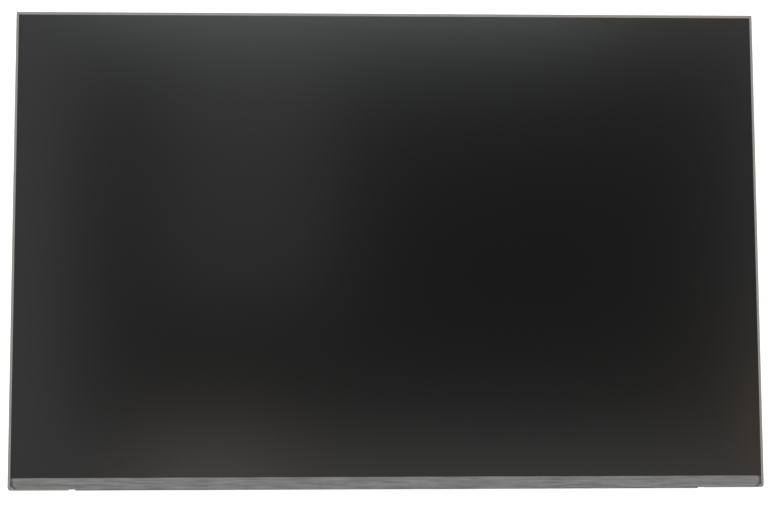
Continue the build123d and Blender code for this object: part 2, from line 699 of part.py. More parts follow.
# Conductive tapes from the board's upper edge down to the back plate
for side_name, tape_x in GROUND_TAPE_PLACES.items():
    with BuildPart() as ground_tape:
        with BuildSketch(Plane.YZ.offset(tape_x)):
            with BuildLine():
                Polyline(
                    (board_top - GROUND_TAPE_LAP, board_rear_z),
                    (board_top, board_rear_z),
                    (board_top + GROUND_TAPE_RAMP, plate_rear_z),
                    (board_top + GROUND_TAPE_REACH, plate_rear_z),
                )
                offset(amount=GROUND_TAPE_THICKNESS, side=Side.RIGHT, kind=Kind.INTERSECTION)
            make_face()
        extrude(amount=GROUND_TAPE_WIDTH / 2, both=True)
    write_piece(ground_tape.part, f"ground_tape_{side_name}")

# Chip packages, each a low block with a bevelled top edge
flash_size = (FLASH_LENGTH, FLASH_WIDTH, FLASH_HEIGHT)
controller_size = (CONTROLLER_SIZE, CONTROLLER_SIZE, CONTROLLER_HEIGHT)
regulator_size = (REGULATOR_SIZE, REGULATOR_SIZE, REGULATOR_HEIGHT)
packages = {
    "timing_controller": (controller_x, tab_middle, controller_size),
    "flash_memory": (-board_end + FLASH_OFFSET, strip_middle, flash_size),
    "level_shifter": (SHIFTER_X, strip_middle, regulator_size),
    "power_regulator": (REGULATOR_X, strip_middle, regulator_size),
    "backlight_driver": (board_end - BACKLIGHT_DRIVER_OFFSET, strip_middle, regulator_size),
}
for package_name, (x, y, (length, width, height)) in packages.items():
    with BuildPart() as package:
        with BuildSketch(board_plane(x, y)):
            Rectangle(length, width)
        extrude(amount=height)
        chamfer(package.faces().sort_by(Axis.Z)[0].edges(), PACKAGE_CHAMFER)
    write_piece(package.part, package_name)

# Shielded coils: a round drum shows inside a square shield, with a narrow gap between them
coils = {
    "boost_inductor": (board_end - BOOST_COIL_OFFSET, BOOST_COIL_SIZE),
    "buck_inductor": (BUCK_COIL_X, BUCK_COIL_SIZE),
}
for coil_name, (x, size) in coils.items():
    with BuildPart() as coil:
        with BuildSketch(board_plane(x, strip_middle)):
            RectangleRounded(size, size, COIL_RADIUS)
        extrude(amount=COIL_HEIGHT)
        chamfer(coil.faces().sort_by(Axis.Z)[0].edges(), COIL_CHAMFER)
        shield_bore = size / 2 - COIL_SHIELD_WALL
        with BuildSketch(board_plane(x, strip_middle).offset(COIL_HEIGHT - COIL_GAP_DEPTH)):
            Circle(shield_bore)
            Circle(shield_bore - COIL_GAP, mode=Mode.SUBTRACT)
        extrude(amount=COIL_GAP_DEPTH, mode=Mode.SUBTRACT)
    write_piece(coil.part, coil_name)

# Diode: a drafted body with a flat lead at each end
diode_plane = board_plane(board_end - DIODE_OFFSET, strip_middle)
with BuildPart() as boost_diode:
    with BuildSketch(diode_plane):
        Rectangle(DIODE_LENGTH, DIODE_WIDTH)
    extrude(amount=DIODE_HEIGHT, taper=DIODE_DRAFT)
    with BuildSketch(diode_plane):
        with GridLocations(DIODE_LENGTH, 0, 2, 1):
            Rectangle(2 * DIODE_LEAD_LENGTH, DIODE_LEAD_WIDTH)
    extrude(amount=DIODE_LEAD_THICKNESS)
write_piece(boost_diode.part, "boost_diode")

with BuildPart() as fuse:
    with BuildSketch(board_plane(-board_end + FUSE_OFFSET, strip_middle)):
        Rectangle(FUSE_LENGTH, FUSE_WIDTH)
    extrude(amount=FUSE_HEIGHT)
write_piece(fuse.part, "fuse")


def chip_group(name, size, pitch, groups):
    """Write rows of equal two-ended chips: each group is a centre and a count of columns and rows."""
    length, width, height = size
    with BuildPart() as chips:
        for x, y, count in groups:
            with BuildSketch(board_plane(x, y)):
                with GridLocations(*pitch, *count):
                    Rectangle(length, width)
            extrude(amount=height)
    write_piece(chips.part, name)


capacitor_groups = (
    (-board_end + CAPACITOR_OFFSETS[0], tab_middle, TAB_GROUP_COUNT),
    (-board_end + CAPACITOR_OFFSETS[1], tab_middle, TAB_GROUP_COUNT),
    (CAPACITOR_X, strip_middle, STRIP_GROUP_COUNT),
    (board_end - CAPACITOR_OFFSETS[2], strip_middle, STRIP_GROUP_COUNT),
)
resistor_groups = (
    (-board_end + RESISTOR_OFFSETS[0], strip_middle, END_GROUP_COUNT),
    (-board_end + RESISTOR_OFFSETS[1], strip_middle, STRIP_GROUP_COUNT),
    (board_end - RESISTOR_OFFSETS[2], strip_middle, END_GROUP_COUNT),
)
bulk_groups = (
    (BULK_X, strip_middle, BULK_GROUP_COUNT),
    (board_end - BULK_OFFSET, strip_middle, BULK_GROUP_COUNT),
)
chip_group("ceramic_capacitors", CAPACITOR_SIZE, CHIP_PITCH, capacitor_groups)
chip_group("chip_resistors", RESISTOR_SIZE, CHIP_PITCH, resistor_groups)
chip_group("bulk_capacitors", BULK_CAPACITOR_SIZE, BULK_PITCH, bulk_groups)
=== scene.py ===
# %% [markdown]
# # A laptop screen panel, lying face up
# The object is a bare display module: a matt black screen in a thin grey frame, with a taped strip along the
# bottom edge. On its back are a stamped aluminium plate and a narrow circuit board. The solids are already
# built at their real size, so this lesson gives them their looks: finishes, plated ends, solder and print.
# They are loaded first and stay fixed, and every later piece takes its place from them.

# %% Load the solids
import math

import bmesh
import bpy
import numpy as np
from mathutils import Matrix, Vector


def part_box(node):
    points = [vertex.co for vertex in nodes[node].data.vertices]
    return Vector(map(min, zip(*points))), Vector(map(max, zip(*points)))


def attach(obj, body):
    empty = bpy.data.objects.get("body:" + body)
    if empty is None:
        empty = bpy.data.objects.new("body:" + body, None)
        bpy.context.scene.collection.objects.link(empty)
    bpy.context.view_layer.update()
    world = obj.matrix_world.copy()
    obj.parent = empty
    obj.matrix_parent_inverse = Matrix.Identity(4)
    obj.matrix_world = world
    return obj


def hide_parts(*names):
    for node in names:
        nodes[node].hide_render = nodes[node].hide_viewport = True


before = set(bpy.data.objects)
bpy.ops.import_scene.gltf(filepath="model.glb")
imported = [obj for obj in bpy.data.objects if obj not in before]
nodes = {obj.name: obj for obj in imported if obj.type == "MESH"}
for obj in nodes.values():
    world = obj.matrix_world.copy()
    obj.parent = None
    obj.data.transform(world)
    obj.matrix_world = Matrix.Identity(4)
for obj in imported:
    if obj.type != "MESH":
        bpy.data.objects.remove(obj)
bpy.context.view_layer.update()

MM = 0.001

# %% [markdown]
# ## Colours, nodes and materials
# A finish in Blender is a small tree of shader nodes. Colours are written as the hex values that a paint
# chart would give, and one function turns them into the linear light that the renderer counts in. A second
# function adds any node with its settings and links. A third makes a material out of a finish, which is a
# function that draws its pattern from the object's own coordinates and fills the shader's sockets. Patterns
# worked out in this way need no pictures and no unwrapping, and keep their real size on every piece.

# %% Colours and nodes
def linear(hex_colour):
    """sRGB hex to linear RGBA: a channel c is ((c + 0.055) / 1.055) ** 2.4, or c / 12.92 where it is dark."""
    srgb = np.array([int(hex_colour[start:start + 2], 16) for start in (1, 3, 5)]) / 255
    rgb = np.where(srgb > 0.04045, ((srgb + 0.055) / 1.055) ** 2.4, srgb / 12.92)
    return (*rgb.tolist(), 1.0)


def add_node(tree, kind, inputs=None, stops=(), **settings):
    """Add a node: settings are its own properties, stops are a ramp's places and hex colours, and inputs
    fills its sockets, each by a value or by a link from a socket or from a node's first output."""
    made = tree.nodes.new(kind)
    for name, value in settings.items():
        setattr(made, name, value)
    for order, (place, colour) in enumerate(stops):
        ramp = made.color_ramp.elements
        stop = ramp[order] if order < 2 else ramp.new(place)
        stop.position, stop.color = place, linear(colour)
    for name, value in (inputs or {}).items():
        source = value.outputs[0] if isinstance(value, bpy.types.Node) else value
        if isinstance(source, bpy.types.NodeSocket):
            tree.links.new(source, made.inputs[name])
        else:
            made.inputs[name].default_value = source
    return made


# %% Materials and the solids that wear them
def make_material(name, finish):
    """A material whose finish function gets the tree and the Object coordinates and returns shader inputs."""
    material = bpy.data.materials.new(name)
    material.use_nodes = True
    tree = material.node_tree
    tree.nodes.clear()
    place = add_node(tree, "ShaderNodeTexCoord").outputs["Object"]
    shader = add_node(tree, "ShaderNodeBsdfPrincipled", finish(tree, place))
    add_node(tree, "ShaderNodeOutputMaterial", {"Surface": shader})
    return material


dressed = set()


def dress(material, *names):
    """Give the named solids this material in each of their slots, and note their names."""
    for name in names:
        for slot in nodes[name].material_slots:
            slot.material = material
    dressed.update(names)
    print(material.name, "on", ", ".join(names))


# %% [markdown]
# ## Camera
# The photograph looks down on the panel from a little below and to the left of its middle, from 0.78 m away.
# The place, the aim and the small roll were solved from the panel's four corners. The lens follows from the
# same solution, on a sensor 36 mm wide. A constraint could aim the camera too, but a matrix built from the
# place, the aim and the upward direction also holds the roll.

# %% Camera
CAMERA_PLACE = np.array([-29.2, -91.7, 778.4]) * MM
CAMERA_AIM = np.array([0.35, -2.07, 3.9]) * MM
CAMERA_UP = np.array([-0.0006, 0.9934, 0.1150])
CAMERA_LENS = 87.9


def add_object(name, data):
    """A new object with this data, linked to the scene."""
    made = bpy.data.objects.new(name, data)
    bpy.context.scene.collection.objects.link(made)
    return made


forward = CAMERA_AIM - CAMERA_PLACE
forward /= np.linalg.norm(forward)
right = np.cross(forward, CAMERA_UP)
right /= np.linalg.norm(right)
turn = np.eye(4)
turn[:3, :3] = np.stack([right, np.cross(right, forward), -forward], axis=1)
turn[:3, 3] = CAMERA_PLACE

camera = add_object("camera", bpy.data.cameras.new("camera"))
camera.data.lens = CAMERA_LENS
camera.matrix_world = turn.T.tolist()
bpy.context.scene.camera = camera
print("camera", np.round(CAMERA_PLACE / MM, 1), "mm")

# %% [markdown]
# ## Floor and light
# The panel lies on a pale floor, which is seen only from above and lets light pass, so that the panel can
# also be lit and looked at from underneath. Eleven soft panels on a ceiling light it from above. They differ
# in brightness, because the screen is half a mirror: a dim middle and a bright far side are what give it the
# soft patches of the photograph, and two panels are a little warm. One more panel, below, lights the back.
# The room itself is a ramp over height, brightest halfway up. It is dim overhead, where the panels are, and
# dim near the horizon, because a bright horizon would turn the screen pale in a low view.

# %% Floor
FLOOR_REACH = 20.0
FLOOR_GLOW = 0.4


def pale_floor(tree, place):
    """Pale painted board with a hardly visible mottle of some 40 mm."""
    mottle = add_node(tree, "ShaderNodeTexNoise", {"Vector": place, "Scale": 1 / (40 * MM)})
    tone = add_node(tree, "ShaderNodeValToRGB", {"Fac": mottle}, stops=[(0.3, "#f4f4f4"), (0.7, "#f7f7f7")])
    behind = add_node(tree, "ShaderNodeNewGeometry").outputs["Backfacing"]
    looked_at = add_node(tree, "ShaderNodeLightPath").outputs["Is Camera Ray"]
    seen = add_node(tree, "ShaderNodeMath", {0: looked_at, 1: behind}, operation="SUBTRACT", use_clamp=True)
    return {
        "Base Color": tone, "Roughness": 0.9, "Alpha": seen, "Emission Color": linear("#ffffff"),
        "Emission Strength": FLOOR_GLOW}


corners = np.array([[-1, -1, 0], [1, -1, 0], [1, 1, 0], [-1, 1, 0]]) * FLOOR_REACH
floor_mesh = bpy.data.meshes.new("floor")
floor_mesh.from_pydata(corners.tolist(), [], [(0, 1, 2, 3)])
floor_mesh.materials.append(make_material("painted_board_white", pale_floor))
floor = add_object("floor", floor_mesh)
print("floor:", 2 * FLOOR_REACH, "m wide")

# %% Soft light
CEILING = 2.5
REACH = 2.2
# Each panel runs from x to x and from y to y, in metres, and has a brightness and a colour.
PANELS = {
    "top_left_panel": (-REACH, -0.46, 0.7, REACH, 0.72, "#ffffff"),
    "top_panel": (-0.46, 0.49, 0.735, REACH, 4.15, "#faffff"),
    "top_right_panel": (0.49, REACH, 0.7, REACH, 1.1, "#fffdfd"),
    "left_panel": (-REACH, -0.46, -0.06, 0.7, 0.95, "#ffffff"),
    "middle_panel": (-0.3, 0.0, 0.2, 0.7, 0.56, "#ffffff"),
    "right_panel": (0.76, REACH, 0.09, 0.7, 0.93, "#ffffff"),
    "right_warm_panel": (0.76, REACH, -0.14, 0.09, 2.1, "#ffe3c8"),
    "bottom_left_panel": (-REACH, -0.33, -REACH, -0.06, 0.75, "#ffffff"),
    "bottom_bright_panel": (-0.33, -0.1, -REACH, -0.03, 1.85, "#fff3e8"),
    "bottom_panel": (-0.1, 0.74, -REACH, -0.06, 1.2, "#fffdfa"),
    "bottom_right_panel": (0.76, REACH, -REACH, -0.14, 0.3, "#ffffff"),
}


def soft_panel(name, width, depth, place, brightness, colour):
    """A rectangle of light that isn't seen itself. Its power is brightness x pi x area."""
    panel = add_object(name, bpy.data.lights.new(name, "AREA"))
    panel.data.shape = "RECTANGLE"
    panel.data.size, panel.data.size_y = width, depth
    panel.data.energy = brightness * math.pi * width * depth
    panel.data.color = linear(colour)[:3]
    panel.location = place
    panel.visible_camera = False
    return panel


for name, (x_low, x_high, y_low, y_high, brightness, colour) in PANELS.items():
    middle = ((x_low + x_high) / 2, (y_low + y_high) / 2, CEILING)
    soft_panel(name, x_high - x_low, y_high - y_low, middle, brightness, colour)
print("light panels:", len(PANELS))

# %% Light from below
LOW_PLACE = (-1.0, 0.7, -1.3)
LOW_SIZE = 1.5
LOW_BRIGHTNESS = 1.3
low_panel = soft_panel("low_panel", LOW_SIZE, LOW_SIZE, LOW_PLACE, LOW_BRIGHTNESS, "#ffffff")
low_panel.rotation_euler = (math.pi, 0, 0)
print("low panel:", LOW_SIZE, "m wide, at", LOW_PLACE)

# %% Room
ROOM_STRENGTH = 1.7
ROOM_STOPS = [
    (0.0, "#7a7a7a"), (0.02, "#3c3c3c"), (0.3, "#505050"), (0.5, "#a0a0a0"), (0.66, "#ffffff"),
    (0.78, "#ffffff"), (0.9, "#424242")]
world = bpy.data.worlds.new("room")
bpy.context.scene.world = world
world.use_nodes = True
room = world.node_tree
direction = add_node(room, "ShaderNodeTexCoord").outputs["Generated"]
height = add_node(room, "ShaderNodeSeparateXYZ", {0: direction})
shade = add_node(room, "ShaderNodeValToRGB", {"Fac": height.outputs["Z"]}, stops=ROOM_STOPS)
walls = add_node(room, "ShaderNodeBackground", {"Color": shade, "Strength": ROOM_STRENGTH})
backdrop = add_node(room, "ShaderNodeBackground", {"Color": linear("#fdfdfd")})
looked_at = add_node(room, "ShaderNodeLightPath").outputs["Is Camera Ray"]
seen_room = add_node(room, "ShaderNodeMixShader", {0: looked_at, 1: walls, 2: backdrop})
room.links.new(seen_room.outputs[0], room.nodes["World Output"].inputs["Surface"])
bpy.context.scene.view_settings.view_transform = "Standard"
print("room stops:", len(ROOM_STOPS))

# %% [markdown]
# ## Screen
# The black face is a polarising film with an anti-glare coat: a hard lacquer full of grit finer than a hair,
# which turns mirror images into a soft sheen. Behind it the switched-off pixels look almost black, and the
# printed border round them is darker still. The border is found by folding the coordinates about the middle
# of the film, so that one comparison serves all four sides. The grit is far finer than a picture element,
# so it is drawn at 0.5 mm.

# %% Anti-glare film
BORDER = np.array([1.6, 1.1, 0.0]) * MM
BORDER_FADE = 0.3 * MM
GRIT = 0.5 * MM
film_low, film_high = np.array(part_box("front_polariser"))
film_middle = (film_low + film_high) / 2
picture_half = (film_high - film_low) / 2 - BORDER


def antiglare_film(tree, place):
    """Triacetate film, IOR 1.49: near black, with a soft sheen from the gritty coat."""
    offset = add_node(tree, "ShaderNodeVectorMath", {0: place, 1: film_middle}, operation="SUBTRACT")
    folded = add_node(tree, "ShaderNodeVectorMath", {0: offset}, operation="ABSOLUTE")
    past = add_node(tree, "ShaderNodeVectorMath", {0: folded, 1: picture_half}, operation="SUBTRACT")
    axes = add_node(tree, "ShaderNodeSeparateXYZ", {0: past})
    outside = add_node(
        tree, "ShaderNodeMath", {0: axes.outputs["X"], 1: axes.outputs["Y"]}, operation="MAXIMUM")
    border = add_node(
        tree, "ShaderNodeMapRange", {"Value": outside, "From Min": -BORDER_FADE, "From Max": BORDER_FADE})
    tone = add_node(tree, "ShaderNodeValToRGB", {"Fac": border}, stops=[(0.0, "#060606"), (1.0, "#040404")])
    grit = add_node(tree, "ShaderNodeTexNoise", {"Vector": place, "Scale": 1 / GRIT, "Detail": 1.0})
    sheen = add_node(tree, "ShaderNodeMapRange", {"Value": grit, "To Min": 0.145, "To Max": 0.175})
    bump = add_node(tree, "ShaderNodeBump", {"Height": grit, "Strength": 0.02, "Distance": 0.02 * MM})
    return {"Base Color": tone, "Roughness": sheen, "IOR": 1.49, "Normal": bump}


dress(make_material("triacetate_antiglare_film", antiglare_film), "front_polariser")

# %% [markdown]
# ## Frame
# The thin rim round the screen belongs to a frame moulded in grey polycarbonate. The mould was spark-eroded,
# which leaves a fine matt grain, and thin walls cool unevenly, which leaves faint clouds in the grey. Two
# noises of different sizes give both. Cutting the grain into the mesh would take millions of faces, so it is
# a shallow bump.

# %% Moulded frame
def moulded_grey(tree, place):
    """Polycarbonate, IOR 1.58: clouds of 12 mm in the grey and a matt grain, drawn at 0.3 mm."""
    clouds = add_node(tree, "ShaderNodeTexNoise", {"Vector": place, "Scale": 1 / (12 * MM), "Detail": 3.0})
    tone = add_node(tree, "ShaderNodeValToRGB", {"Fac": clouds}, stops=[(0.3, "#74716d"), (0.7, "#7b7874")])
    grain = add_node(tree, "ShaderNodeTexNoise", {"Vector": place, "Scale": 1 / (0.3 * MM), "Detail": 2.0})
    matt = add_node(tree, "ShaderNodeMapRange", {"Value": grain, "To Min": 0.5, "To Max": 0.62})
    bump = add_node(tree, "ShaderNodeBump", {"Height": grain, "Strength": 0.2, "Distance": 0.02 * MM})
    return {"Base Color": tone, "Roughness": matt, "IOR": 1.58, "Normal": bump}


dress(make_material("polycarbonate_moulded_grey", moulded_grey), "mould_frame")

# %% [markdown]
# ## Cover tape
# A strip of metallised polyester tape covers the bonded edge of the glass and folds round the bottom edge
# onto the board. It is a sheet, so it is worked out as one: a section with rounded folds, carried along the
# width. Where the circuits under it end, they print through as faint lines, and a tape laid by hand keeps
# some long ripples. Pressed down, it spreads a little further towards the rim than the solid does. Its ends
# are cut back, so the cells of the grid beyond the cut are left out.

# %% Path with rounded corners
def rounded_path(corners, radii, arc_steps=8):
    """Points along straight runs joined by arcs. An arc of radius r in a turn of angle a starts r tan(a/2)
    before the corner, and its points turn evenly about the centre, which lies r to the inside."""
    corners = np.asarray(corners, float)
    runs = np.diff(corners, axis=0)
    runs /= np.linalg.norm(runs, axis=1, keepdims=True)
    path = [corners[:1]]
    for corner, before, after, radius in zip(corners[1:-1], runs, runs[1:], radii):
        cross = before[0] * after[1] - before[1] * after[0]
        angle = math.atan2(cross, before @ after)
        start = corner - before * radius * math.tan(abs(angle) / 2)
        inward = np.array([-before[1], before[0]]) * math.copysign(1, angle)
        steps = np.linspace(0, angle, arc_steps + 1)[:, None]
        spoke = -inward
        turned = np.concatenate(
            [spoke[0] * np.cos(steps) - spoke[1] * np.sin(steps),
             spoke[0] * np.sin(steps) + spoke[1] * np.cos(steps)], axis=1)
        path.append(start + inward * radius + turned * radius)
    path.append(corners[-1:])
    return np.concatenate(path)


# %% Section of the tape
TAPE_CREASE = (-95.35 * MM, -96.0 * MM)
TAPE_STEP = 0.1 * MM
TAPE_BACK_END = -94.2 * MM
CREASE_RADII = (0.5 * MM, 0.3 * MM)
FOLD_RADIUS = 0.6 * MM
tape_low, tape_high = np.array(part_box("ledge_cover_tape"))
step_height = tape_high[2] - TAPE_STEP
tape_section = rounded_path(
    [(tape_high[1], tape_high[2]), (TAPE_CREASE[0], tape_high[2]), (TAPE_CREASE[1], step_height),
     (tape_low[1], step_height), (tape_low[1], tape_low[2]), (TAPE_BACK_END, tape_low[2])],
    [*CREASE_RADII, FOLD_RADIUS, FOLD_RADIUS])
print("tape section points:", len(tape_section))

# %% Sheet of tape
TAPE_CELL = 0.25 * MM
FLAP_HALF_WIDTH = 126.3 * MM
FLAP_COLUMNS = 161
WING_COLUMNS = 12
END_CUT = 1.5 * MM
END_SPREAD = 0.2 * MM
ROUNDING = 1e-9
end_bottom = tape_low[1] + FOLD_RADIUS
tape_half_width = tape_high[0] + END_SPREAD

run = np.concatenate([[0], np.cumsum(np.linalg.norm(np.diff(tape_section, axis=0), axis=1))])
stations = np.unique(np.concatenate([run, np.arange(0, run[-1], TAPE_CELL)]))
tape_y, tape_z = (np.interp(stations, run, tape_section[:, axis]) for axis in (0, 1))
front_rows = stations <= stations[np.argmin(tape_y > end_bottom + ROUNDING)]
# The corners of the ends are cut at 45 degrees: there the half width shrinks by as much as y falls.
half_width = np.clip(tape_half_width - (end_bottom + END_CUT - tape_y), 0, tape_half_width)

flap = np.linspace(-1, 1, FLAP_COLUMNS) * FLAP_HALF_WIDTH
outer = np.linspace(0, 1, WING_COLUMNS)[1:]
wing = FLAP_HALF_WIDTH + (half_width[:, None] - FLAP_HALF_WIDTH) * outer
tape_x = np.concatenate([-wing[:, ::-1], np.tile(flap, (len(stations), 1)), wing], axis=1)
print("tape runs", round(run[-1] / MM, 2), "mm round the edge, in", len(stations), "rows")

# %% Ripples and lines that print through the tape
LINE_HEIGHT = 0.035 * MM
LINE_WIDTH = 0.22 * MM
LINE_RISE = 2.0 * MM
# Each line runs from x to x at one y.
PRINTED_LINES = (
    (-125 * MM, -84 * MM, -96.75 * MM), (-118 * MM, -90 * MM, -97.3 * MM),
    (66 * MM, 97 * MM, -97.0 * MM), (103 * MM, 127 * MM, -97.2 * MM), (104 * MM, 125 * MM, -96.6 * MM),
)
RIPPLE_HEIGHT = 0.006 * MM
RIPPLE_LENGTHS = (37 * MM, 61 * MM)
RELIEF_FADE = 0.3 * MM


def tape_relief(x, y):
    """Height over the flat tape. A line is a bell across Y, exp(-(d / width)^2), times a window along X made
    of two soft steps. Ripples are two sine waves of 37 and 61 mm, raised so that they never go below 0."""
    short_wave = np.sin(2 * np.pi * x / RIPPLE_LENGTHS[0] + y / MM)
    long_wave = np.sin(2 * np.pi * x / RIPPLE_LENGTHS[1])
    relief = RIPPLE_HEIGHT * (2 + short_wave + long_wave) / 4
    for start, end, line_y in PRINTED_LINES:
        window = (np.tanh((x - start) / LINE_RISE) - np.tanh((x - end) / LINE_RISE)) / 2
        relief = relief + LINE_HEIGHT * window * np.exp(-((y - line_y) / LINE_WIDTH) ** 2)
    return relief


fade = np.clip((tape_y - end_bottom) / RELIEF_FADE, 0, 1) * front_rows
relief = tape_relief(tape_x, tape_y[:, None]) * fade[:, None]
sheet = np.stack([tape_x, np.broadcast_to(tape_y[:, None], tape_x.shape), tape_z[:, None] + relief], axis=-1)
print("tape cells:", sheet.shape[:2], "relief up to", round(relief.max() / MM, 3), "mm")

# %% Mesh of the tape
TAPE_THICKNESS = 0.1 * MM

rows, columns = sheet.shape[:2]
index = np.arange(rows * columns).reshape(rows, columns)
cells = np.stack([index[:-1, :-1], index[1:, :-1], index[1:, 1:], index[:-1, 1:]], axis=-1)
wing_cells = len(outer)
kept = np.ones(cells.shape[:2], bool)
kept[~front_rows[1:], :wing_cells] = False
kept[~front_rows[1:], -wing_cells:] = False
used, renumbered = np.unique(cells[kept], return_inverse=True)

tape_mesh = bpy.data.meshes.new("cover_tape")
tape_mesh.from_pydata(sheet.reshape(-1, 3)[used].tolist(), [], renumbered.reshape(-1, 4).tolist())
tape_mesh.polygons.foreach_set("use_smooth", np.ones(len(tape_mesh.polygons), bool))
cover_tape = add_object("cover_tape", tape_mesh)
thickness = cover_tape.modifiers.new("thickness", "SOLIDIFY")
thickness.thickness = TAPE_THICKNESS
thickness.use_even_offset = True
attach(cover_tape, "root")
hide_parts("ledge_cover_tape")
print("cover tape faces:", len(tape_mesh.polygons))


# %% Finish of the tape
def metallised_polyester(tree, place):
    """Vapour-coated polyester under grey lacquer: half metallic, with drawn-film streaks some 0.6 mm wide."""
    drawn = add_node(
        tree, "ShaderNodeMapping", {"Vector": place, "Scale": 1 / (np.array([11, 0.6, 0.6]) * MM)})
    streaks = add_node(
        tree, "ShaderNodeTexNoise", {"Vector": drawn, "Scale": 1.0, "Detail": 5.0, "Roughness": 0.65})
    tone = add_node(
        tree, "ShaderNodeValToRGB", {"Fac": streaks}, stops=[(0.25, "#4b4b4b"), (0.75, "#7e7e7d")])
    gloss = add_node(tree, "ShaderNodeMapRange", {"Value": streaks, "To Min": 0.5, "To Max": 0.36})
    bump = add_node(tree, "ShaderNodeBump", {"Height": streaks, "Strength": 0.25, "Distance": 0.02 * MM})
    return {"Base Color": tone, "Metallic": 0.5, "Roughness": gloss, "Normal": bump}


tape_mesh.materials.append(make_material("polyester_metallised_grey", metallised_polyester))
print(tape_mesh.materials[0].name, "on", cover_tape.name)

# %% [markdown]
# ## Back plate
# The back is a tray stamped and folded from aluminium sheet. The solid has its folds and windows, so only the
# finish is added. Rolling leaves fine lines along the sheet, here from side to side, and a brightness that
# wanders a little. The lines are noise stretched along the width, drawn 0.3 mm apart, which is coarser than
# the real ones, so that they show.

# %% Rolled aluminium
def rolled_aluminium(tree, place):
    """Mill-finished aluminium: fully metallic, satin, with roll lines and soft clouds of 50 mm."""
    rolled = add_node(
        tree, "ShaderNodeMapping", {"Vector": place, "Scale": 1 / (np.array([70, 0.3, 0.3]) * MM)})
    lines = add_node(tree, "ShaderNodeTexNoise", {"Vector": rolled, "Scale": 1.0, "Detail": 4.0})
    tone = add_node(tree, "ShaderNodeValToRGB", {"Fac": lines}, stops=[(0.25, "#c6c8ca"), (0.75, "#d2d4d5")])
    clouds = add_node(tree, "ShaderNodeTexNoise", {"Vector": place, "Scale": 1 / (50 * MM), "Detail": 2.0})
    satin = add_node(tree, "ShaderNodeMapRange", {"Value": clouds, "To Min": 0.33, "To Max": 0.42})
    bump = add_node(tree, "ShaderNodeBump", {"Height": lines, "Strength": 0.06, "Distance": 0.02 * MM})
    return {"Base Color": tone, "Metallic": 1.0, "Roughness": satin, "Normal": bump}


dress(make_material("aluminium_rolled_sheet", rolled_aluminium), "back_plate")

# %% [markdown]
# ## Circuit board
# The board is glass-fibre laminate under green solder mask. Where copper lies under the mask the green is
# lighter, so the copper can be drawn by two patterns: broad pours, and bundles of parallel tracks. Bands of a
# wave make the tracks, and a random number for each cell of the board decides which of them shows there. Real
# tracks are 0.1 mm wide: they are drawn at 0.25 mm.

# %% Solder mask
TRACK_PITCH = 0.5 * MM


def wave_scale(pitch):
    """Scale of a wave whose bands are a pitch apart: at scale 1 they repeat every pi / 10 metres."""
    return math.pi / (10 * pitch)


def solder_mask(tree, place):
    """Epoxy mask over laminate, IOR 1.55: two greens, glossy, with copper raised a little. Each square-sided
    cell of 10 by 5 mm draws a number: high ones are pours, middle ones tracks upwards, low ones along."""
    spread = add_node(
        tree, "ShaderNodeMapping", {"Vector": place, "Scale": (1 / (10 * MM), 1 / (5 * MM), 0.0)})
    cells = add_node(tree, "ShaderNodeTexVoronoi", {"Vector": spread, "Scale": 1.0}, distance="CHEBYCHEV")
    draw = add_node(tree, "ShaderNodeSeparateColor", {0: cells.outputs["Color"]})
    pour = add_node(tree, "ShaderNodeMath", {0: draw, 1: 0.6}, operation="GREATER_THAN")
    copper = pour
    for direction, test in (("X", "GREATER_THAN"), ("Y", "LESS_THAN")):
        bands = add_node(
            tree, "ShaderNodeTexWave", {"Vector": place, "Scale": wave_scale(TRACK_PITCH)},
            bands_direction=direction)
        tracks = add_node(tree, "ShaderNodeMath", {0: bands.outputs["Fac"], 1: 0.5}, operation="GREATER_THAN")
        chosen = add_node(tree, "ShaderNodeMath", {0: draw, 1: 0.42}, operation=test)
        bundle = add_node(tree, "ShaderNodeMath", {0: tracks, 1: chosen}, operation="MULTIPLY")
        copper = add_node(tree, "ShaderNodeMath", {0: copper, 1: bundle}, operation="MAXIMUM")
    tone = add_node(tree, "ShaderNodeValToRGB", {"Fac": copper}, stops=[(0.0, "#0a3a25"), (1.0, "#16603b")])
    bump = add_node(tree, "ShaderNodeBump", {"Height": copper, "Strength": 0.3, "Distance": 0.03 * MM})
    return {"Base Color": tone, "Roughness": 0.28, "IOR": 1.55, "Normal": bump}


dress(make_material("epoxy_solder_mask_green", solder_mask), "driver_board")

# %% [markdown]
# ## Shapes that repeat on the board
# Most things on the board are small and come in rows, so one function builds all copies at once from a single
# array: copies, rings along each copy, points round each ring. Rings are joined by four-sided faces, and the
# ends are closed flat. Flat marks, lands and test points are the simplest case, with two rings each.

# %% Closed shapes from rings
def ring_piece(name, rings, material):
    """A mesh of closed copies: ring k is joined to ring k + 1, and the first and last rings become faces.
    Normals are recalculated, because copies may be mirrored."""
    copies, steps, around, _ = rings.shape
    index = np.arange(copies * steps * around).reshape(copies, steps, around)
    here, ahead = index[:, :-1], index[:, 1:]
    sides = np.stack([here, np.roll(here, -1, 2), np.roll(ahead, -1, 2), ahead], axis=-1).reshape(-1, 4)
    ends = index[:, [0, -1]].reshape(-1, around)
    mesh = bpy.data.meshes.new(name)
    mesh.from_pydata(rings.reshape(-1, 3).tolist(), [], sides.tolist() + ends.tolist())
    shape = bmesh.new()
    shape.from_mesh(mesh)
    bmesh.ops.recalc_face_normals(shape, faces=shape.faces)
    shape.to_mesh(mesh)
    shape.free()
    mesh.materials.append(material)
    piece = add_object(name, mesh)
    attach(piece, "root")
    print(name, "copies:", copies, "faces:", len(mesh.polygons))
    return piece


# %% Flat shapes
SQUARE = np.array([[-1, -1], [1, -1], [1, 1], [-1, 1]]) / 2
CIRCLE_POINTS = 32
circle_angle = np.arange(CIRCLE_POINTS) * 2 * np.pi / CIRCLE_POINTS
CIRCLE = np.stack([np.cos(circle_angle), np.sin(circle_angle)], axis=1) / 2
board_low, board_high = np.array(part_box("driver_board"))
board_face = board_low[2]


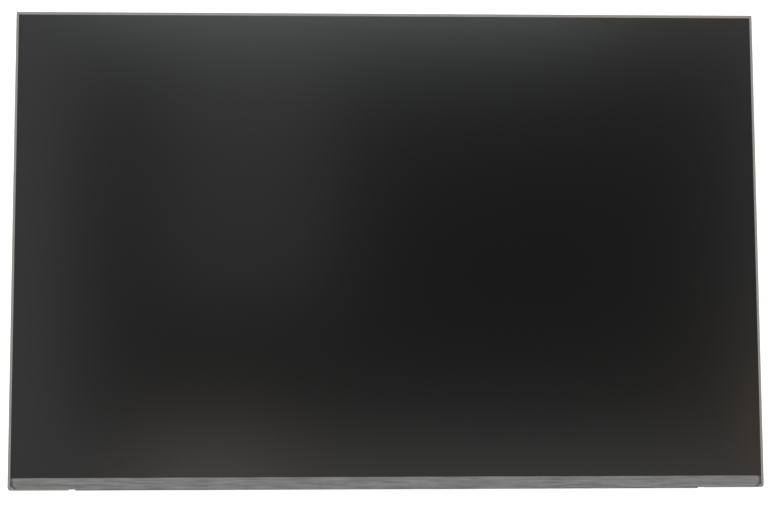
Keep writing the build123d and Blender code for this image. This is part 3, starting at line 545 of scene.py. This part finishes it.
def stamped(outline, centres, sizes, depth, face=board_face):
    """Rings of flat shapes on the board or another face: centre + outline x size, and again depth lower."""
    plan = np.asarray(centres)[:, None, :] + outline * np.asarray(sizes)[:, None, :]
    rings = np.empty((len(plan), 2, len(outline), 3))
    rings[..., :2] = plan[:, None]
    rings[..., 2] = np.reshape(face, (-1, 1, 1)) - np.array([0, depth])[:, None]
    return rings


print("board in mm:", np.round((board_high - board_low) / MM, 2), "face at", round(board_face / MM, 2))

# %% [markdown]
# ## Capacitors, resistors and fuse
# These are little ceramic bricks whose two ends are dipped in metal and tinned. On the solids they are plain
# blocks, so each is replaced by a brick of the same size: a nearly rectangular section, carried along the
# length, that is a little slimmer between the plated ends. A number on each point says whether it is plated,
# and the finish mixes ceramic and tin by it.

# %% Bricks in place of blocks
BLOCK_POINTS = 24
PLATED_SHARE = 0.24


def blocks_of(name):
    """Centres and sizes of a node's separate blocks. Four points to a face lie together for each block."""
    mesh = nodes[name].data
    points = np.empty(3 * len(mesh.vertices))
    mesh.vertices.foreach_get("co", points)
    points = points.reshape(-1, BLOCK_POINTS, 3)
    lowest, highest = points.min(axis=1), points.max(axis=1)
    return (lowest + highest) / 2, highest - lowest


def brick_rings(centres, sizes):
    """Rings along X. The section is y = w/2 |cos t|^(1/4) and z = h/2 |sin t|^(1/4), with their signs, which
    is a rectangle with soft corners. It is 6 percent slimmer in the middle and rounded in at both ends."""
    angle = (np.arange(16) + 0.5) * np.pi / 8
    section = np.stack([np.cos(angle), np.sin(angle)], axis=1)
    section = np.sign(section) * np.abs(section) ** 0.25
    edge = 0.5 - PLATED_SHARE
    along = np.array([-0.5, -0.47, -edge, -edge, edge, edge, 0.47, 0.5])
    girth = np.array([0.9, 1, 1, 0.94, 0.94, 1, 1, 0.9])
    rings = np.empty((len(centres), len(along), len(section), 3))
    rings[..., 0] = (centres[:, None, 0] + sizes[:, None, 0] * along)[..., None]
    rings[..., 1:] = centres[:, None, None, 1:] + (
        sizes[:, None, None, 1:] / 2 * girth[:, None, None] * section / np.abs(section).max())
    return rings, np.array([1, 1, 1, 0, 0, 1, 1, 1])


# %% Fired ceramic with tinned ends
GLAZE_DEPTH = 0.33 * MM
TIN = ("#b9b8b4", "#d2d1cd")
glaze_height = board_face - GLAZE_DEPTH


def ceramic(name, body_tones, face_tones):
    """Fired ceramic with tinned ends: body tones by a 0.2 mm grain, and other tones on the glazed face."""
    def finish(tree, place):
        grain = add_node(
            tree, "ShaderNodeTexNoise", {"Vector": place, "Scale": 1 / (0.2 * MM), "Detail": 2.0})
        plated = add_node(tree, "ShaderNodeAttribute", attribute_name="plated").outputs["Fac"]
        body, face, tin = (
            add_node(tree, "ShaderNodeValToRGB", {"Fac": grain}, stops=zip((0.3, 0.7), tones)).outputs[0]
            for tones in (body_tones, face_tones, TIN))
        depth = add_node(tree, "ShaderNodeSeparateXYZ", {0: place}).outputs["Z"]
        outer = add_node(tree, "ShaderNodeMath", {0: depth, 1: glaze_height}, operation="LESS_THAN")
        brick = add_node(tree, "ShaderNodeMixRGB", {"Fac": outer, "Color1": body, "Color2": face})
        tone = add_node(tree, "ShaderNodeMixRGB", {"Fac": plated, "Color1": brick, "Color2": tin})
        return {"Base Color": tone, "Metallic": plated, "Roughness": 0.38}
    return make_material(name, finish)


# %% Place the bricks
TAN = ("#94704c", "#a98560")
WHITE = ("#d9d5c8", "#ebe8de")
titanate = ceramic("barium_titanate_tinned_ends", TAN, TAN)
alumina = ceramic("alumina_glazed_tinned_ends", ("#dedad0", "#eeebe3"), ("#131314", "#1c1c1e"))
fuse_ceramic = ceramic("alumina_white_tinned_ends", WHITE, WHITE)
bricks = {
    "plated_capacitors": ("ceramic_capacitors", titanate, "ceramic_tan"),
    "plated_bulk_capacitors": ("bulk_capacitors", titanate, "ceramic_tan"),
    "plated_resistors": ("chip_resistors", alumina, "ceramic_black"),
    "plated_fuse": ("fuse", fuse_ceramic, "ceramic_tan"),
}
brick_places = []
for piece_name, (node, material, slot) in bricks.items():
    centres, sizes = blocks_of(node)
    brick_places.append(np.concatenate([centres, sizes], axis=1))
    rings, plated = brick_rings(centres, sizes)
    piece = ring_piece(piece_name, rings, material)
    levels = np.broadcast_to(plated[None, :, None], rings.shape[:3]).astype(np.float32)
    piece.data.attributes.new("plated", "FLOAT", "POINT").data.foreach_set("value", levels.ravel())
    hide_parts(node)

# %% [markdown]
# ## Solder
# A tinned end is held by a small concave slope of solder, its fillet. The slope is a quarter circle seen from
# outside, d = r (1 - cos t) and h = k (1 - sin t), carried across the width of the brick. Chips without legs
# show bright lands round their edges instead, and so do the coils, the socket's tails and its feet.

# %% Fillets at the bricks' ends
FILLET_REACH = 0.22 * MM
FILLET_CLIMB = 0.6
FILLET_SHARE = 0.86


def bright_solder(tree, place):
    """Tin-silver solder: metallic and smooth, with a cold-grained surface of 0.15 mm."""
    grain = add_node(tree, "ShaderNodeTexNoise", {"Vector": place, "Scale": 1 / (0.15 * MM), "Detail": 2.0})
    tone = add_node(tree, "ShaderNodeValToRGB", {"Fac": grain}, stops=[(0.3, "#b4b4b2"), (0.7, "#cdcdca")])
    shine = add_node(tree, "ShaderNodeMapRange", {"Value": grain, "To Min": 0.22, "To Max": 0.38})
    return {"Base Color": tone, "Metallic": 1.0, "Roughness": shine}


solder = make_material("solder_tin_silver", bright_solder)
brick = np.concatenate(brick_places)
ends = np.concatenate([np.insert(brick, 6, side, axis=1) for side in (-1, 1)])
x, y, _, length, width, tall, outward = ends.T[..., None, None]
slope = np.linspace(0, np.pi / 2, 6)
profile_out = FILLET_REACH * np.concatenate([[0], 1 - np.cos(slope)])
profile_up = np.concatenate([[0], 1 - np.sin(slope)])
fillets = np.empty((len(ends), 2, len(profile_out), 3))
fillets[..., 0] = x + outward * (length / 2 + profile_out)
fillets[..., 1] = y + FILLET_SHARE * width / 2 * np.array([[-1], [1]])
fillets[..., 2] = board_face - FILLET_CLIMB * tall * profile_up
ring_piece("solder_fillets", fillets, solder)

# %% Rows of lands
LAND_PITCH = 0.5 * MM


def side_lands(node, counts, reach, width):
    """Lands just outside a package: counts of them at left and right, and at the lower and upper sides."""
    lowest, highest = np.array(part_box(node))[:, :2]
    centre, half = (lowest + highest) / 2, (highest - lowest) / 2
    centres, sizes = [], []
    for axis, count in enumerate(counts):
        spread = (np.arange(count) - (count - 1) / 2) * LAND_PITCH
        for sign in (-1, 1):
            place = np.zeros((count, 2))
            place[:, axis] = sign * (half[axis] + reach / 2)
            place[:, 1 - axis] = spread
            size = np.full((count, 2), width)
            size[:, axis] = reach
            centres.append(centre + place)
            sizes.append(size)
    return np.concatenate(centres), np.concatenate(sizes)


# %% Lands of chips, coils and socket
LAND_DEPTH = 0.025 * MM
CHIP_LAND = (0.28 * MM, 0.27 * MM)
# Each package has counts of lands for its sides, and a land's reach and width.
PACKAGE_LANDS = {
    "timing_controller": ((13, 13), *CHIP_LAND),
    "level_shifter": ((6, 6), *CHIP_LAND),
    "power_regulator": ((6, 6), *CHIP_LAND),
    "backlight_driver": ((6, 6), *CHIP_LAND),
    "flash_memory": ((4, 0), *CHIP_LAND),
    "boost_inductor": ((1, 0), 0.45 * MM, 2.6 * MM),
    "buck_inductor": ((1, 0), 0.45 * MM, 2.0 * MM),
    "boost_diode": ((1, 0), 0.35 * MM, 1.3 * MM),
}
CONTACTS = 30
TAIL_LAND = (0.26 * MM, 0.7 * MM)
TAIL_SHIFT = 0.1 * MM
FOOT_LAND = (1.5 * MM, 2.1 * MM)
FOOT_INSET = 0.55 * MM

lands = [side_lands(node, *layout) for node, layout in PACKAGE_LANDS.items()]
tails_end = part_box("socket_contacts")[1][1]
shell_low, shell_high = np.array(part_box("socket_shell"))
socket_middle = (shell_low + shell_high) / 2
tail_x = socket_middle[0] + (np.arange(CONTACTS) - (CONTACTS - 1) / 2) * LAND_PITCH
tail_y = np.full(CONTACTS, tails_end + TAIL_SHIFT)
lands.append((np.stack([tail_x, tail_y], axis=1), np.full((CONTACTS, 2), TAIL_LAND)))
foot_x = np.array([shell_low[0] + FOOT_INSET, shell_high[0] - FOOT_INSET])
foot_y = np.full(2, socket_middle[1])
lands.append((np.stack([foot_x, foot_y], axis=1), np.full((2, 2), FOOT_LAND)))
land_centres, land_sizes = (np.concatenate(group) for group in zip(*lands))
ring_piece("solder_lands", stamped(SQUARE, land_centres, land_sizes, LAND_DEPTH), solder)

# %% [markdown]
# ## Marks on the board
# Gold-plated discs are test points, where probes touch a finished board, and smaller ones in a row along its
# edge are plated holes that tie the ground layers together. White print frames the larger parts, with a dot
# at each chip's first leg and a band on the diode. All of them are flat shapes, stamped in rows.

# %% Test points and tie holes
POINT_DEPTH = 0.015 * MM
TEST_POINT_SIZE = 1.0 * MM
TIE_HOLE_SIZE = 0.5 * MM
# Runs and steps are millimetres along the board.
TEST_RUNS = ((-40, -33), (31, 48), (63.5, 71))
TEST_STEP = 2
TEST_ROWS = np.array([-92.6, -90.7, -88.8]) * MM
TIE_RUNS = ((-52, -33), (-16, 46), (64, 96), (110, 120))
TIE_STEP = 3
TIE_HEIGHT = 8.5 * MM


def gold_plating(tree, place):
    """Thin gold over nickel: a pale yellow metal, satin, with a 0.3 mm mottle from the copper under it."""
    mottle = add_node(tree, "ShaderNodeTexNoise", {"Vector": place, "Scale": 1 / (0.3 * MM), "Detail": 2.0})
    tone = add_node(tree, "ShaderNodeValToRGB", {"Fac": mottle}, stops=[(0.3, "#c79f4f"), (0.7, "#dcb768")])
    satin = add_node(tree, "ShaderNodeMapRange", {"Value": mottle, "To Min": 0.24, "To Max": 0.36})
    return {"Base Color": tone, "Metallic": 1.0, "Roughness": satin}


gold = make_material("gold_plated_contact", gold_plating)
test_x, tie_x = (
    np.concatenate([np.arange(start, end, step, float) for start, end in runs]) * MM
    for runs, step in ((TEST_RUNS, TEST_STEP), (TIE_RUNS, TIE_STEP)))
points = np.stack(np.meshgrid(test_x, TEST_ROWS), axis=-1).reshape(-1, 2)
ties = np.stack([tie_x, np.full_like(tie_x, board_low[1] + TIE_HEIGHT)], axis=1)
point_rings = stamped(CIRCLE, points, np.full((len(points), 2), TEST_POINT_SIZE), POINT_DEPTH)
tie_rings = stamped(CIRCLE, ties, np.full((len(ties), 2), TIE_HOLE_SIZE), POINT_DEPTH)
ring_piece("test_points", np.concatenate([point_rings, tie_rings]), gold)

# %% Printed outlines
PRINT_DEPTH = 0.012 * MM
PRINT_LINE = 0.16 * MM
PRINT_MARGIN = 0.65 * MM
CHIPS = ("timing_controller", "level_shifter", "power_regulator", "backlight_driver", "flash_memory")
OUTLINED = (*CHIPS, "boost_inductor", "buck_inductor", "boost_diode")


def printed_ink(tree, place):
    """White epoxy ink, screen printed: matt, and thinner in places by a 0.6 mm mottle."""
    mottle = add_node(tree, "ShaderNodeTexNoise", {"Vector": place, "Scale": 1 / (0.6 * MM), "Detail": 2.0})
    tone = add_node(tree, "ShaderNodeValToRGB", {"Fac": mottle}, stops=[(0.3, "#cdd3cd"), (0.6, "#e9ebe8")])
    return {"Base Color": tone, "Roughness": 0.6, "IOR": 1.5}


ink = make_material("epoxy_ink_white", printed_ink)
boxes = np.array([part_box(name) for name in OUTLINED])
centre = boxes[..., :2].mean(axis=1)
half = (boxes[:, 1, :2] - boxes[:, 0, :2]) / 2 + PRINT_MARGIN
across, up = half * [1, 0], half * [0, 1]
lines = np.full_like(half, PRINT_LINE)
level = lines + across * 2
upright = lines * [1, -1] + up * 2
bar_centres = np.concatenate([centre - up, centre + up, centre - across, centre + across])
bar_sizes = np.concatenate([level, level, upright, upright])
bars = stamped(SQUARE, bar_centres, bar_sizes, PRINT_DEPTH)
print("printed bars:", len(bars))

# %% Band on the diode and dots at the chips
PRINT_DOT = 0.5 * MM
DOT_GAP = 0.55 * MM
BAND_INSET = 0.45 * MM
BAND_WIDTH = 0.35 * MM
diode_low, diode_high = boxes[-1]
band_centre = (diode_low[0] + BAND_INSET, centre[-1, 1])
band_size = (BAND_WIDTH, diode_high[1] - diode_low[1])
band = stamped(SQUARE, [band_centre], [band_size], PRINT_DEPTH, diode_low[2])
ring_piece("printed_outlines", np.concatenate([bars, band]), ink)
dots = (centre - half)[:len(CHIPS)] - DOT_GAP
dot_rings = stamped(CIRCLE, dots, np.full_like(dots, PRINT_DOT), PRINT_DEPTH)
ring_piece("printed_dots", dot_rings, ink)

# %% [markdown]
# ## Chips, coils and socket
# Chips are silicon moulded into black epoxy, which is full of glass powder and so looks matt and slightly
# speckled. Coils are pressed ferrite, greyer and grainier. The socket is a black moulded body under a shell
# of tinned steel sheet, with gold-plated contacts that end in flat tails on the board. The solids have their
# shapes, so they need only finishes: noise for powder and flow, and cells for pressed grains.

# %% Moulded epoxy and ferrite
def moulded_epoxy(tree, place):
    """Epoxy with glass powder, IOR 1.55: black, matt, with a speckle of 0.12 mm."""
    speckle = add_node(tree, "ShaderNodeTexNoise", {"Vector": place, "Scale": 1 / (0.12 * MM), "Detail": 2.0})
    tone = add_node(tree, "ShaderNodeValToRGB", {"Fac": speckle}, stops=[(0.3, "#151516"), (0.75, "#232324")])
    matt = add_node(tree, "ShaderNodeMapRange", {"Value": speckle, "To Min": 0.42, "To Max": 0.6})
    bump = add_node(tree, "ShaderNodeBump", {"Height": speckle, "Strength": 0.25, "Distance": 0.01 * MM})
    return {"Base Color": tone, "Roughness": matt, "IOR": 1.55, "Normal": bump}


def pressed_ferrite(tree, place):
    """Pressed and fired iron oxide: dark grey, dull, with pressing grains of 0.25 mm."""
    grains = add_node(tree, "ShaderNodeTexVoronoi", {"Vector": place, "Scale": 1 / (0.25 * MM)})
    tone = add_node(tree, "ShaderNodeValToRGB", {"Fac": grains}, stops=[(0.1, "#3d3c3e"), (0.8, "#2a292b")])
    bump = add_node(tree, "ShaderNodeBump", {"Height": grains, "Strength": 0.3, "Distance": 0.02 * MM})
    return {"Base Color": tone, "Roughness": 0.55, "Normal": bump}


dress(make_material("epoxy_moulded_black", moulded_epoxy), *CHIPS, "boost_diode")
dress(make_material("ferrite_pressed", pressed_ferrite), "boost_inductor", "buck_inductor")

# %% First-leg dimples
DIMPLE_SIZE = 0.55 * MM
DIMPLE_INSET = 0.65 * MM
DIMPLE_DEPTH = 0.006 * MM


def polished_epoxy_painted_sheen(tree, place):
    """The mould's ejector pin leaves a smooth, shinier disc: the same black epoxy with a finer speckle, whose
    lighter tone is a painted sheen.
    """
    speckle = add_node(tree, "ShaderNodeTexNoise", {"Vector": place, "Scale": 1 / (0.06 * MM)})
    # Painted sheen: these tones are lighter than the chips' black to stand in for the disc's shine; its real
    # gloss is the low roughness.
    tone = add_node(tree, "ShaderNodeValToRGB", {"Fac": speckle}, stops=[(0.3, "#2a2a2b"), (0.7, "#353536")])
    return {"Base Color": tone, "Roughness": 0.2, "IOR": 1.55}


polished = make_material("epoxy_polished_black_painted_sheen", polished_epoxy_painted_sheen)
chips = np.array([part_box(name) for name in CHIPS])
dimples = chips[:, 0, :2] + DIMPLE_INSET
dimple_rings = stamped(CIRCLE, dimples, np.full_like(dimples, DIMPLE_SIZE), DIMPLE_DEPTH, chips[:, 0, 2])
ring_piece("first_leg_dimples", dimple_rings, polished)


# %% Socket
def tinned_sheet(tree, place):
    """Tinned steel sheet: bright metal, with draw lines along its length and a soft cloud of 3 mm."""
    drawn = add_node(
        tree, "ShaderNodeMapping", {"Vector": place, "Scale": 1 / (np.array([8, 0.2, 0.2]) * MM)})
    lines = add_node(tree, "ShaderNodeTexNoise", {"Vector": drawn, "Scale": 1.0, "Detail": 3.0})
    tone = add_node(tree, "ShaderNodeValToRGB", {"Fac": lines}, stops=[(0.3, "#b2b3b3"), (0.7, "#cacbca")])
    clouds = add_node(tree, "ShaderNodeTexNoise", {"Vector": place, "Scale": 1 / (3 * MM)})
    shine = add_node(tree, "ShaderNodeMapRange", {"Value": clouds, "To Min": 0.22, "To Max": 0.38})
    return {"Base Color": tone, "Metallic": 1.0, "Roughness": shine}


def moulded_polymer(tree, place):
    """Liquid crystal polymer, IOR 1.6: black, with pale flow streaks of 0.8 mm along the length."""
    flowed = add_node(
        tree, "ShaderNodeMapping", {"Vector": place, "Scale": 1 / (np.array([5, 0.8, 0.8]) * MM)})
    streaks = add_node(tree, "ShaderNodeTexNoise", {"Vector": flowed, "Scale": 1.0, "Detail": 3.0})
    tone = add_node(
        tree, "ShaderNodeValToRGB", {"Fac": streaks}, stops=[(0.35, "#161616"), (0.75, "#2b2b2a")])
    matt = add_node(tree, "ShaderNodeMapRange", {"Value": streaks, "To Min": 0.4, "To Max": 0.52})
    return {"Base Color": tone, "Roughness": matt, "IOR": 1.6}


dress(make_material("steel_tinned_sheet", tinned_sheet), "socket_shell")
dress(make_material("polymer_moulded_black", moulded_polymer), "socket_housing")
dress(gold, "socket_contacts")

# %% [markdown]
# ## Tapes
# Two strips of conductive cloth tie the board to the plate. Their weave is two waves that cross, one along
# each side, drawn 0.5 mm apart instead of 0.15 mm so that it shows. The other tapes are black polyester.

# %% Conductive cloth and black polyester
THREAD = 0.5 * MM


def conductive_cloth(tree, place):
    """Woven polyester plated with nickel and copper: grey metal, dull, with a plain weave."""
    warp, weft = (
        add_node(
            tree, "ShaderNodeTexWave", {"Vector": place, "Scale": wave_scale(THREAD)},
            bands_direction=direction).outputs["Fac"]
        for direction in "XY")
    weave = add_node(tree, "ShaderNodeMath", {0: warp, 1: weft}, operation="MULTIPLY")
    tone = add_node(tree, "ShaderNodeValToRGB", {"Fac": weave}, stops=[(0.0, "#7b7b79"), (0.8, "#a9a9a6")])
    bump = add_node(tree, "ShaderNodeBump", {"Height": weave, "Strength": 0.4, "Distance": 0.03 * MM})
    return {"Base Color": tone, "Metallic": 0.85, "Roughness": 0.45, "Normal": bump}


def black_polyester(tree, place):
    """Polyester tape, IOR 1.57: black, half matt, with soft wrinkles of 6 mm."""
    wrinkles = add_node(tree, "ShaderNodeTexNoise", {"Vector": place, "Scale": 1 / (6 * MM), "Detail": 2.0})
    tone = add_node(tree, "ShaderNodeValToRGB", {"Fac": wrinkles}, stops=[(0.3, "#111112"), (0.7, "#19191a")])
    matt = add_node(tree, "ShaderNodeMapRange", {"Value": wrinkles, "To Min": 0.38, "To Max": 0.5})
    return {"Base Color": tone, "Roughness": matt, "IOR": 1.57}


cloth = make_material("polyester_cloth_nickel_plated", conductive_cloth)
dress(cloth, "ground_tape_left", "ground_tape_right")
dress(make_material("polyester_tape_black", black_polyester), "board_tape", "rim_tape")

# %% [markdown]
# ## Flexible circuits
# Amber polyimide film carries etched copper tracks from the glass to the board, and others along the row of
# diodes. Tracks are bands of a wave: side by side across the panel's circuits, and lengthwise on the light
# bar's. They are drawn 0.6 mm apart, which is coarser than the real ones.

# %% Polyimide with tracks
FLEX_PITCH = 0.6 * MM


def tracked_polyimide(direction):
    """Finish of polyimide film, IOR 1.7, over copper tracks that repeat along one axis."""
    def finish(tree, place):
        tracks = add_node(
            tree, "ShaderNodeTexWave", {"Vector": place, "Scale": wave_scale(FLEX_PITCH)},
            bands_direction=direction)
        copper = tracks.outputs["Fac"]
        tone = add_node(
            tree, "ShaderNodeValToRGB", {"Fac": copper}, stops=[(0.4, "#6e3408"), (0.6, "#b4702a")])
        bump = add_node(tree, "ShaderNodeBump", {"Height": tracks, "Strength": 0.2, "Distance": 0.02 * MM})
        return {"Base Color": tone, "Roughness": 0.3, "IOR": 1.7, "Normal": bump}
    return finish


dress(make_material("polyimide_tracks_across", tracked_polyimide("X")), "panel_flex_left", "panel_flex_right")
dress(make_material("polyimide_tracks_along", tracked_polyimide("Y")), "led_flex")

# %% [markdown]
# ## Glass, films and diodes
# The rest is seen only at its edges, or when the panel is taken apart, but it gets its own finishes. The cell
# is two sheets of thin glass. Behind it lie prism films, whose ribs bend light towards the viewer, a
# diffuser, a clear acrylic guide with printed dots, and a white reflector. White diodes shine into the
# guide's edge through yellow phosphor. None of it needs a new shape: a pattern at its real pitch, or coarser
# where that is too fine to show, tells the layers apart.

# %% Glass of the cell
LEDGE_PITCH = 0.2 * MM


def drawn_glass(tree, place):
    """Alkali-free drawn glass, IOR 1.52, with black print behind it: polished, with faint 80 mm waves."""
    waves = add_node(tree, "ShaderNodeTexNoise", {"Vector": place, "Scale": 1 / (80 * MM)})
    tone = add_node(tree, "ShaderNodeValToRGB", {"Fac": waves}, stops=[(0.3, "#0c100f"), (0.7, "#121715")])
    return {"Base Color": tone, "Roughness": 0.06, "IOR": 1.52}


def tracked_glass(tree, place):
    """The rear glass, IOR 1.52: metal tracks 0.02 mm apart, drawn at 0.2 mm, turn its ledge grey."""
    wave = add_node(tree, "ShaderNodeTexWave", {"Vector": place, "Scale": wave_scale(LEDGE_PITCH)})
    tracks = wave.outputs["Fac"]
    tone = add_node(tree, "ShaderNodeValToRGB", {"Fac": tracks}, stops=[(0.3, "#5d605e"), (0.7, "#7d807e")])
    return {"Base Color": tone, "Metallic": 0.3, "Roughness": 0.3, "IOR": 1.52}


dress(make_material("glass_alkali_free_drawn", drawn_glass), "colour_filter_glass")
dress(make_material("glass_thin_film_tracks", tracked_glass), "array_glass")

# %% Silicon and rear polariser
DRAWN_PITCH = 0.4 * MM


def ground_silicon(tree, place):
    """Silicon ground thin from behind: a blue-grey mirror with grinding lines of 0.1 mm."""
    ground = add_node(
        tree, "ShaderNodeMapping", {"Vector": place, "Scale": 1 / (np.array([4, 0.1, 0.1]) * MM)})
    lines = add_node(tree, "ShaderNodeTexNoise", {"Vector": ground, "Scale": 1.0, "Detail": 2.0})
    tone = add_node(tree, "ShaderNodeValToRGB", {"Fac": lines}, stops=[(0.3, "#4a4c54"), (0.7, "#5d6069")])
    return {"Base Color": tone, "Metallic": 0.7, "Roughness": 0.25}


def smoked_film(tree, place):
    """Stretched polarising film, IOR 1.49: smoky grey and glossy, with drawing lines of 0.4 mm."""
    lines = add_node(
        tree, "ShaderNodeTexWave", {"Vector": place, "Scale": wave_scale(DRAWN_PITCH), "Distortion": 1.0})
    tone = add_node(
        tree, "ShaderNodeValToRGB", {"Fac": lines.outputs["Fac"]}, stops=[(0.0, "#26282b"), (1.0, "#2c2e31")])
    return {"Base Color": tone, "Roughness": 0.15, "IOR": 1.49}


drivers = [f"source_driver_{number}" for number in range(1, 5)]
dress(make_material("silicon_ground", ground_silicon), *drivers)
dress(make_material("triacetate_polarising_film", smoked_film), "rear_polariser")

# %% Films, light guide and reflector
RIB_PITCH = 0.4 * MM


def ribbed_film(direction):
    """Finish of polyester film with acrylic prisms: a grey sheen, with ribs 0.05 mm apart drawn at 0.4 mm."""
    def finish(tree, place):
        ribs = add_node(
            tree, "ShaderNodeTexWave", {"Vector": place, "Scale": wave_scale(RIB_PITCH)},
            bands_direction=direction, wave_profile="TRI")
        rib_height = ribs.outputs["Fac"]
        tone = add_node(
            tree, "ShaderNodeValToRGB", {"Fac": rib_height}, stops=[(0.0, "#aeb3b6"), (1.0, "#cdd1d3")])
        bump = add_node(tree, "ShaderNodeBump", {"Height": ribs, "Strength": 0.4, "Distance": 0.05 * MM})
        return {"Base Color": tone, "Roughness": 0.2, "IOR": 1.57, "Normal": bump}
    return finish


def frosted_film(tree, place):
    """Beaded polyester film: white and matt, with beads of 0.02 mm drawn at 0.3 mm."""
    beads = add_node(tree, "ShaderNodeTexVoronoi", {"Vector": place, "Scale": 1 / (0.3 * MM)})
    tone = add_node(tree, "ShaderNodeValToRGB", {"Fac": beads}, stops=[(0.0, "#f0f1f0"), (0.8, "#dfe1e1")])
    bump = add_node(tree, "ShaderNodeBump", {"Height": beads, "Strength": 0.2, "Distance": 0.02 * MM})
    return {"Base Color": tone, "Roughness": 0.55, "IOR": 1.57, "Normal": bump}


def dotted_acrylic(tree, place):
    """Cast acrylic, IOR 1.49, with printed white dots 1.2 mm apart that let light out."""
    dots = add_node(
        tree, "ShaderNodeTexVoronoi", {"Vector": place, "Scale": 1 / (1.2 * MM), "Randomness": 0.0})
    tone = add_node(tree, "ShaderNodeValToRGB", {"Fac": dots}, stops=[(0.25, "#f4f5f3"), (0.32, "#c9d3d2")])
    return {"Base Color": tone, "Roughness": 0.12, "IOR": 1.49}


dress(make_material("acrylic_prism_film_upright", ribbed_film("X")), "upper_prism_sheet")
dress(make_material("acrylic_prism_film_level", ribbed_film("Y")), "lower_prism_sheet")
dress(make_material("polyester_beaded_film", frosted_film), "diffuser_sheet", "reflector_sheet")
dress(make_material("acrylic_light_guide", dotted_acrylic), "light_guide_plate")

# %% Diodes and their strip of tape
WINDOW_DEPTH = 0.03 * MM
window_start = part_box("leds")[1][1] - WINDOW_DEPTH


def led_body(tree, place):
    """White moulded resin with a yellow phosphor window on the side that faces the guide."""
    depth = add_node(tree, "ShaderNodeSeparateXYZ", {0: place}).outputs["Y"]
    front = add_node(tree, "ShaderNodeMath", {0: depth, 1: window_start}, operation="GREATER_THAN")
    tone = add_node(tree, "ShaderNodeValToRGB", {"Fac": front}, stops=[(0.4, "#ecebe6"), (0.6, "#e6cf4f")])
    return {"Base Color": tone, "Roughness": 0.4, "IOR": 1.54}


def clear_adhesive(tree, place):
    """Clear acrylic adhesive on film, IOR 1.47: milky, with bubbles of 0.8 mm pressed out of round."""
    bubbles = add_node(tree, "ShaderNodeTexVoronoi", {"Vector": place, "Scale": 1 / (0.8 * MM)})
    tone = add_node(tree, "ShaderNodeValToRGB", {"Fac": bubbles}, stops=[(0.1, "#e6e8e6"), (0.5, "#d2d5d3")])
    return {"Base Color": tone, "Roughness": 0.3, "IOR": 1.47}


dress(make_material("resin_moulded_white_phosphor", led_body), "leds")
dress(make_material("acrylic_adhesive_clear", clear_adhesive), "light_bar_tape")
print("solids that new pieces replace:", [name for name in nodes if name not in dressed])
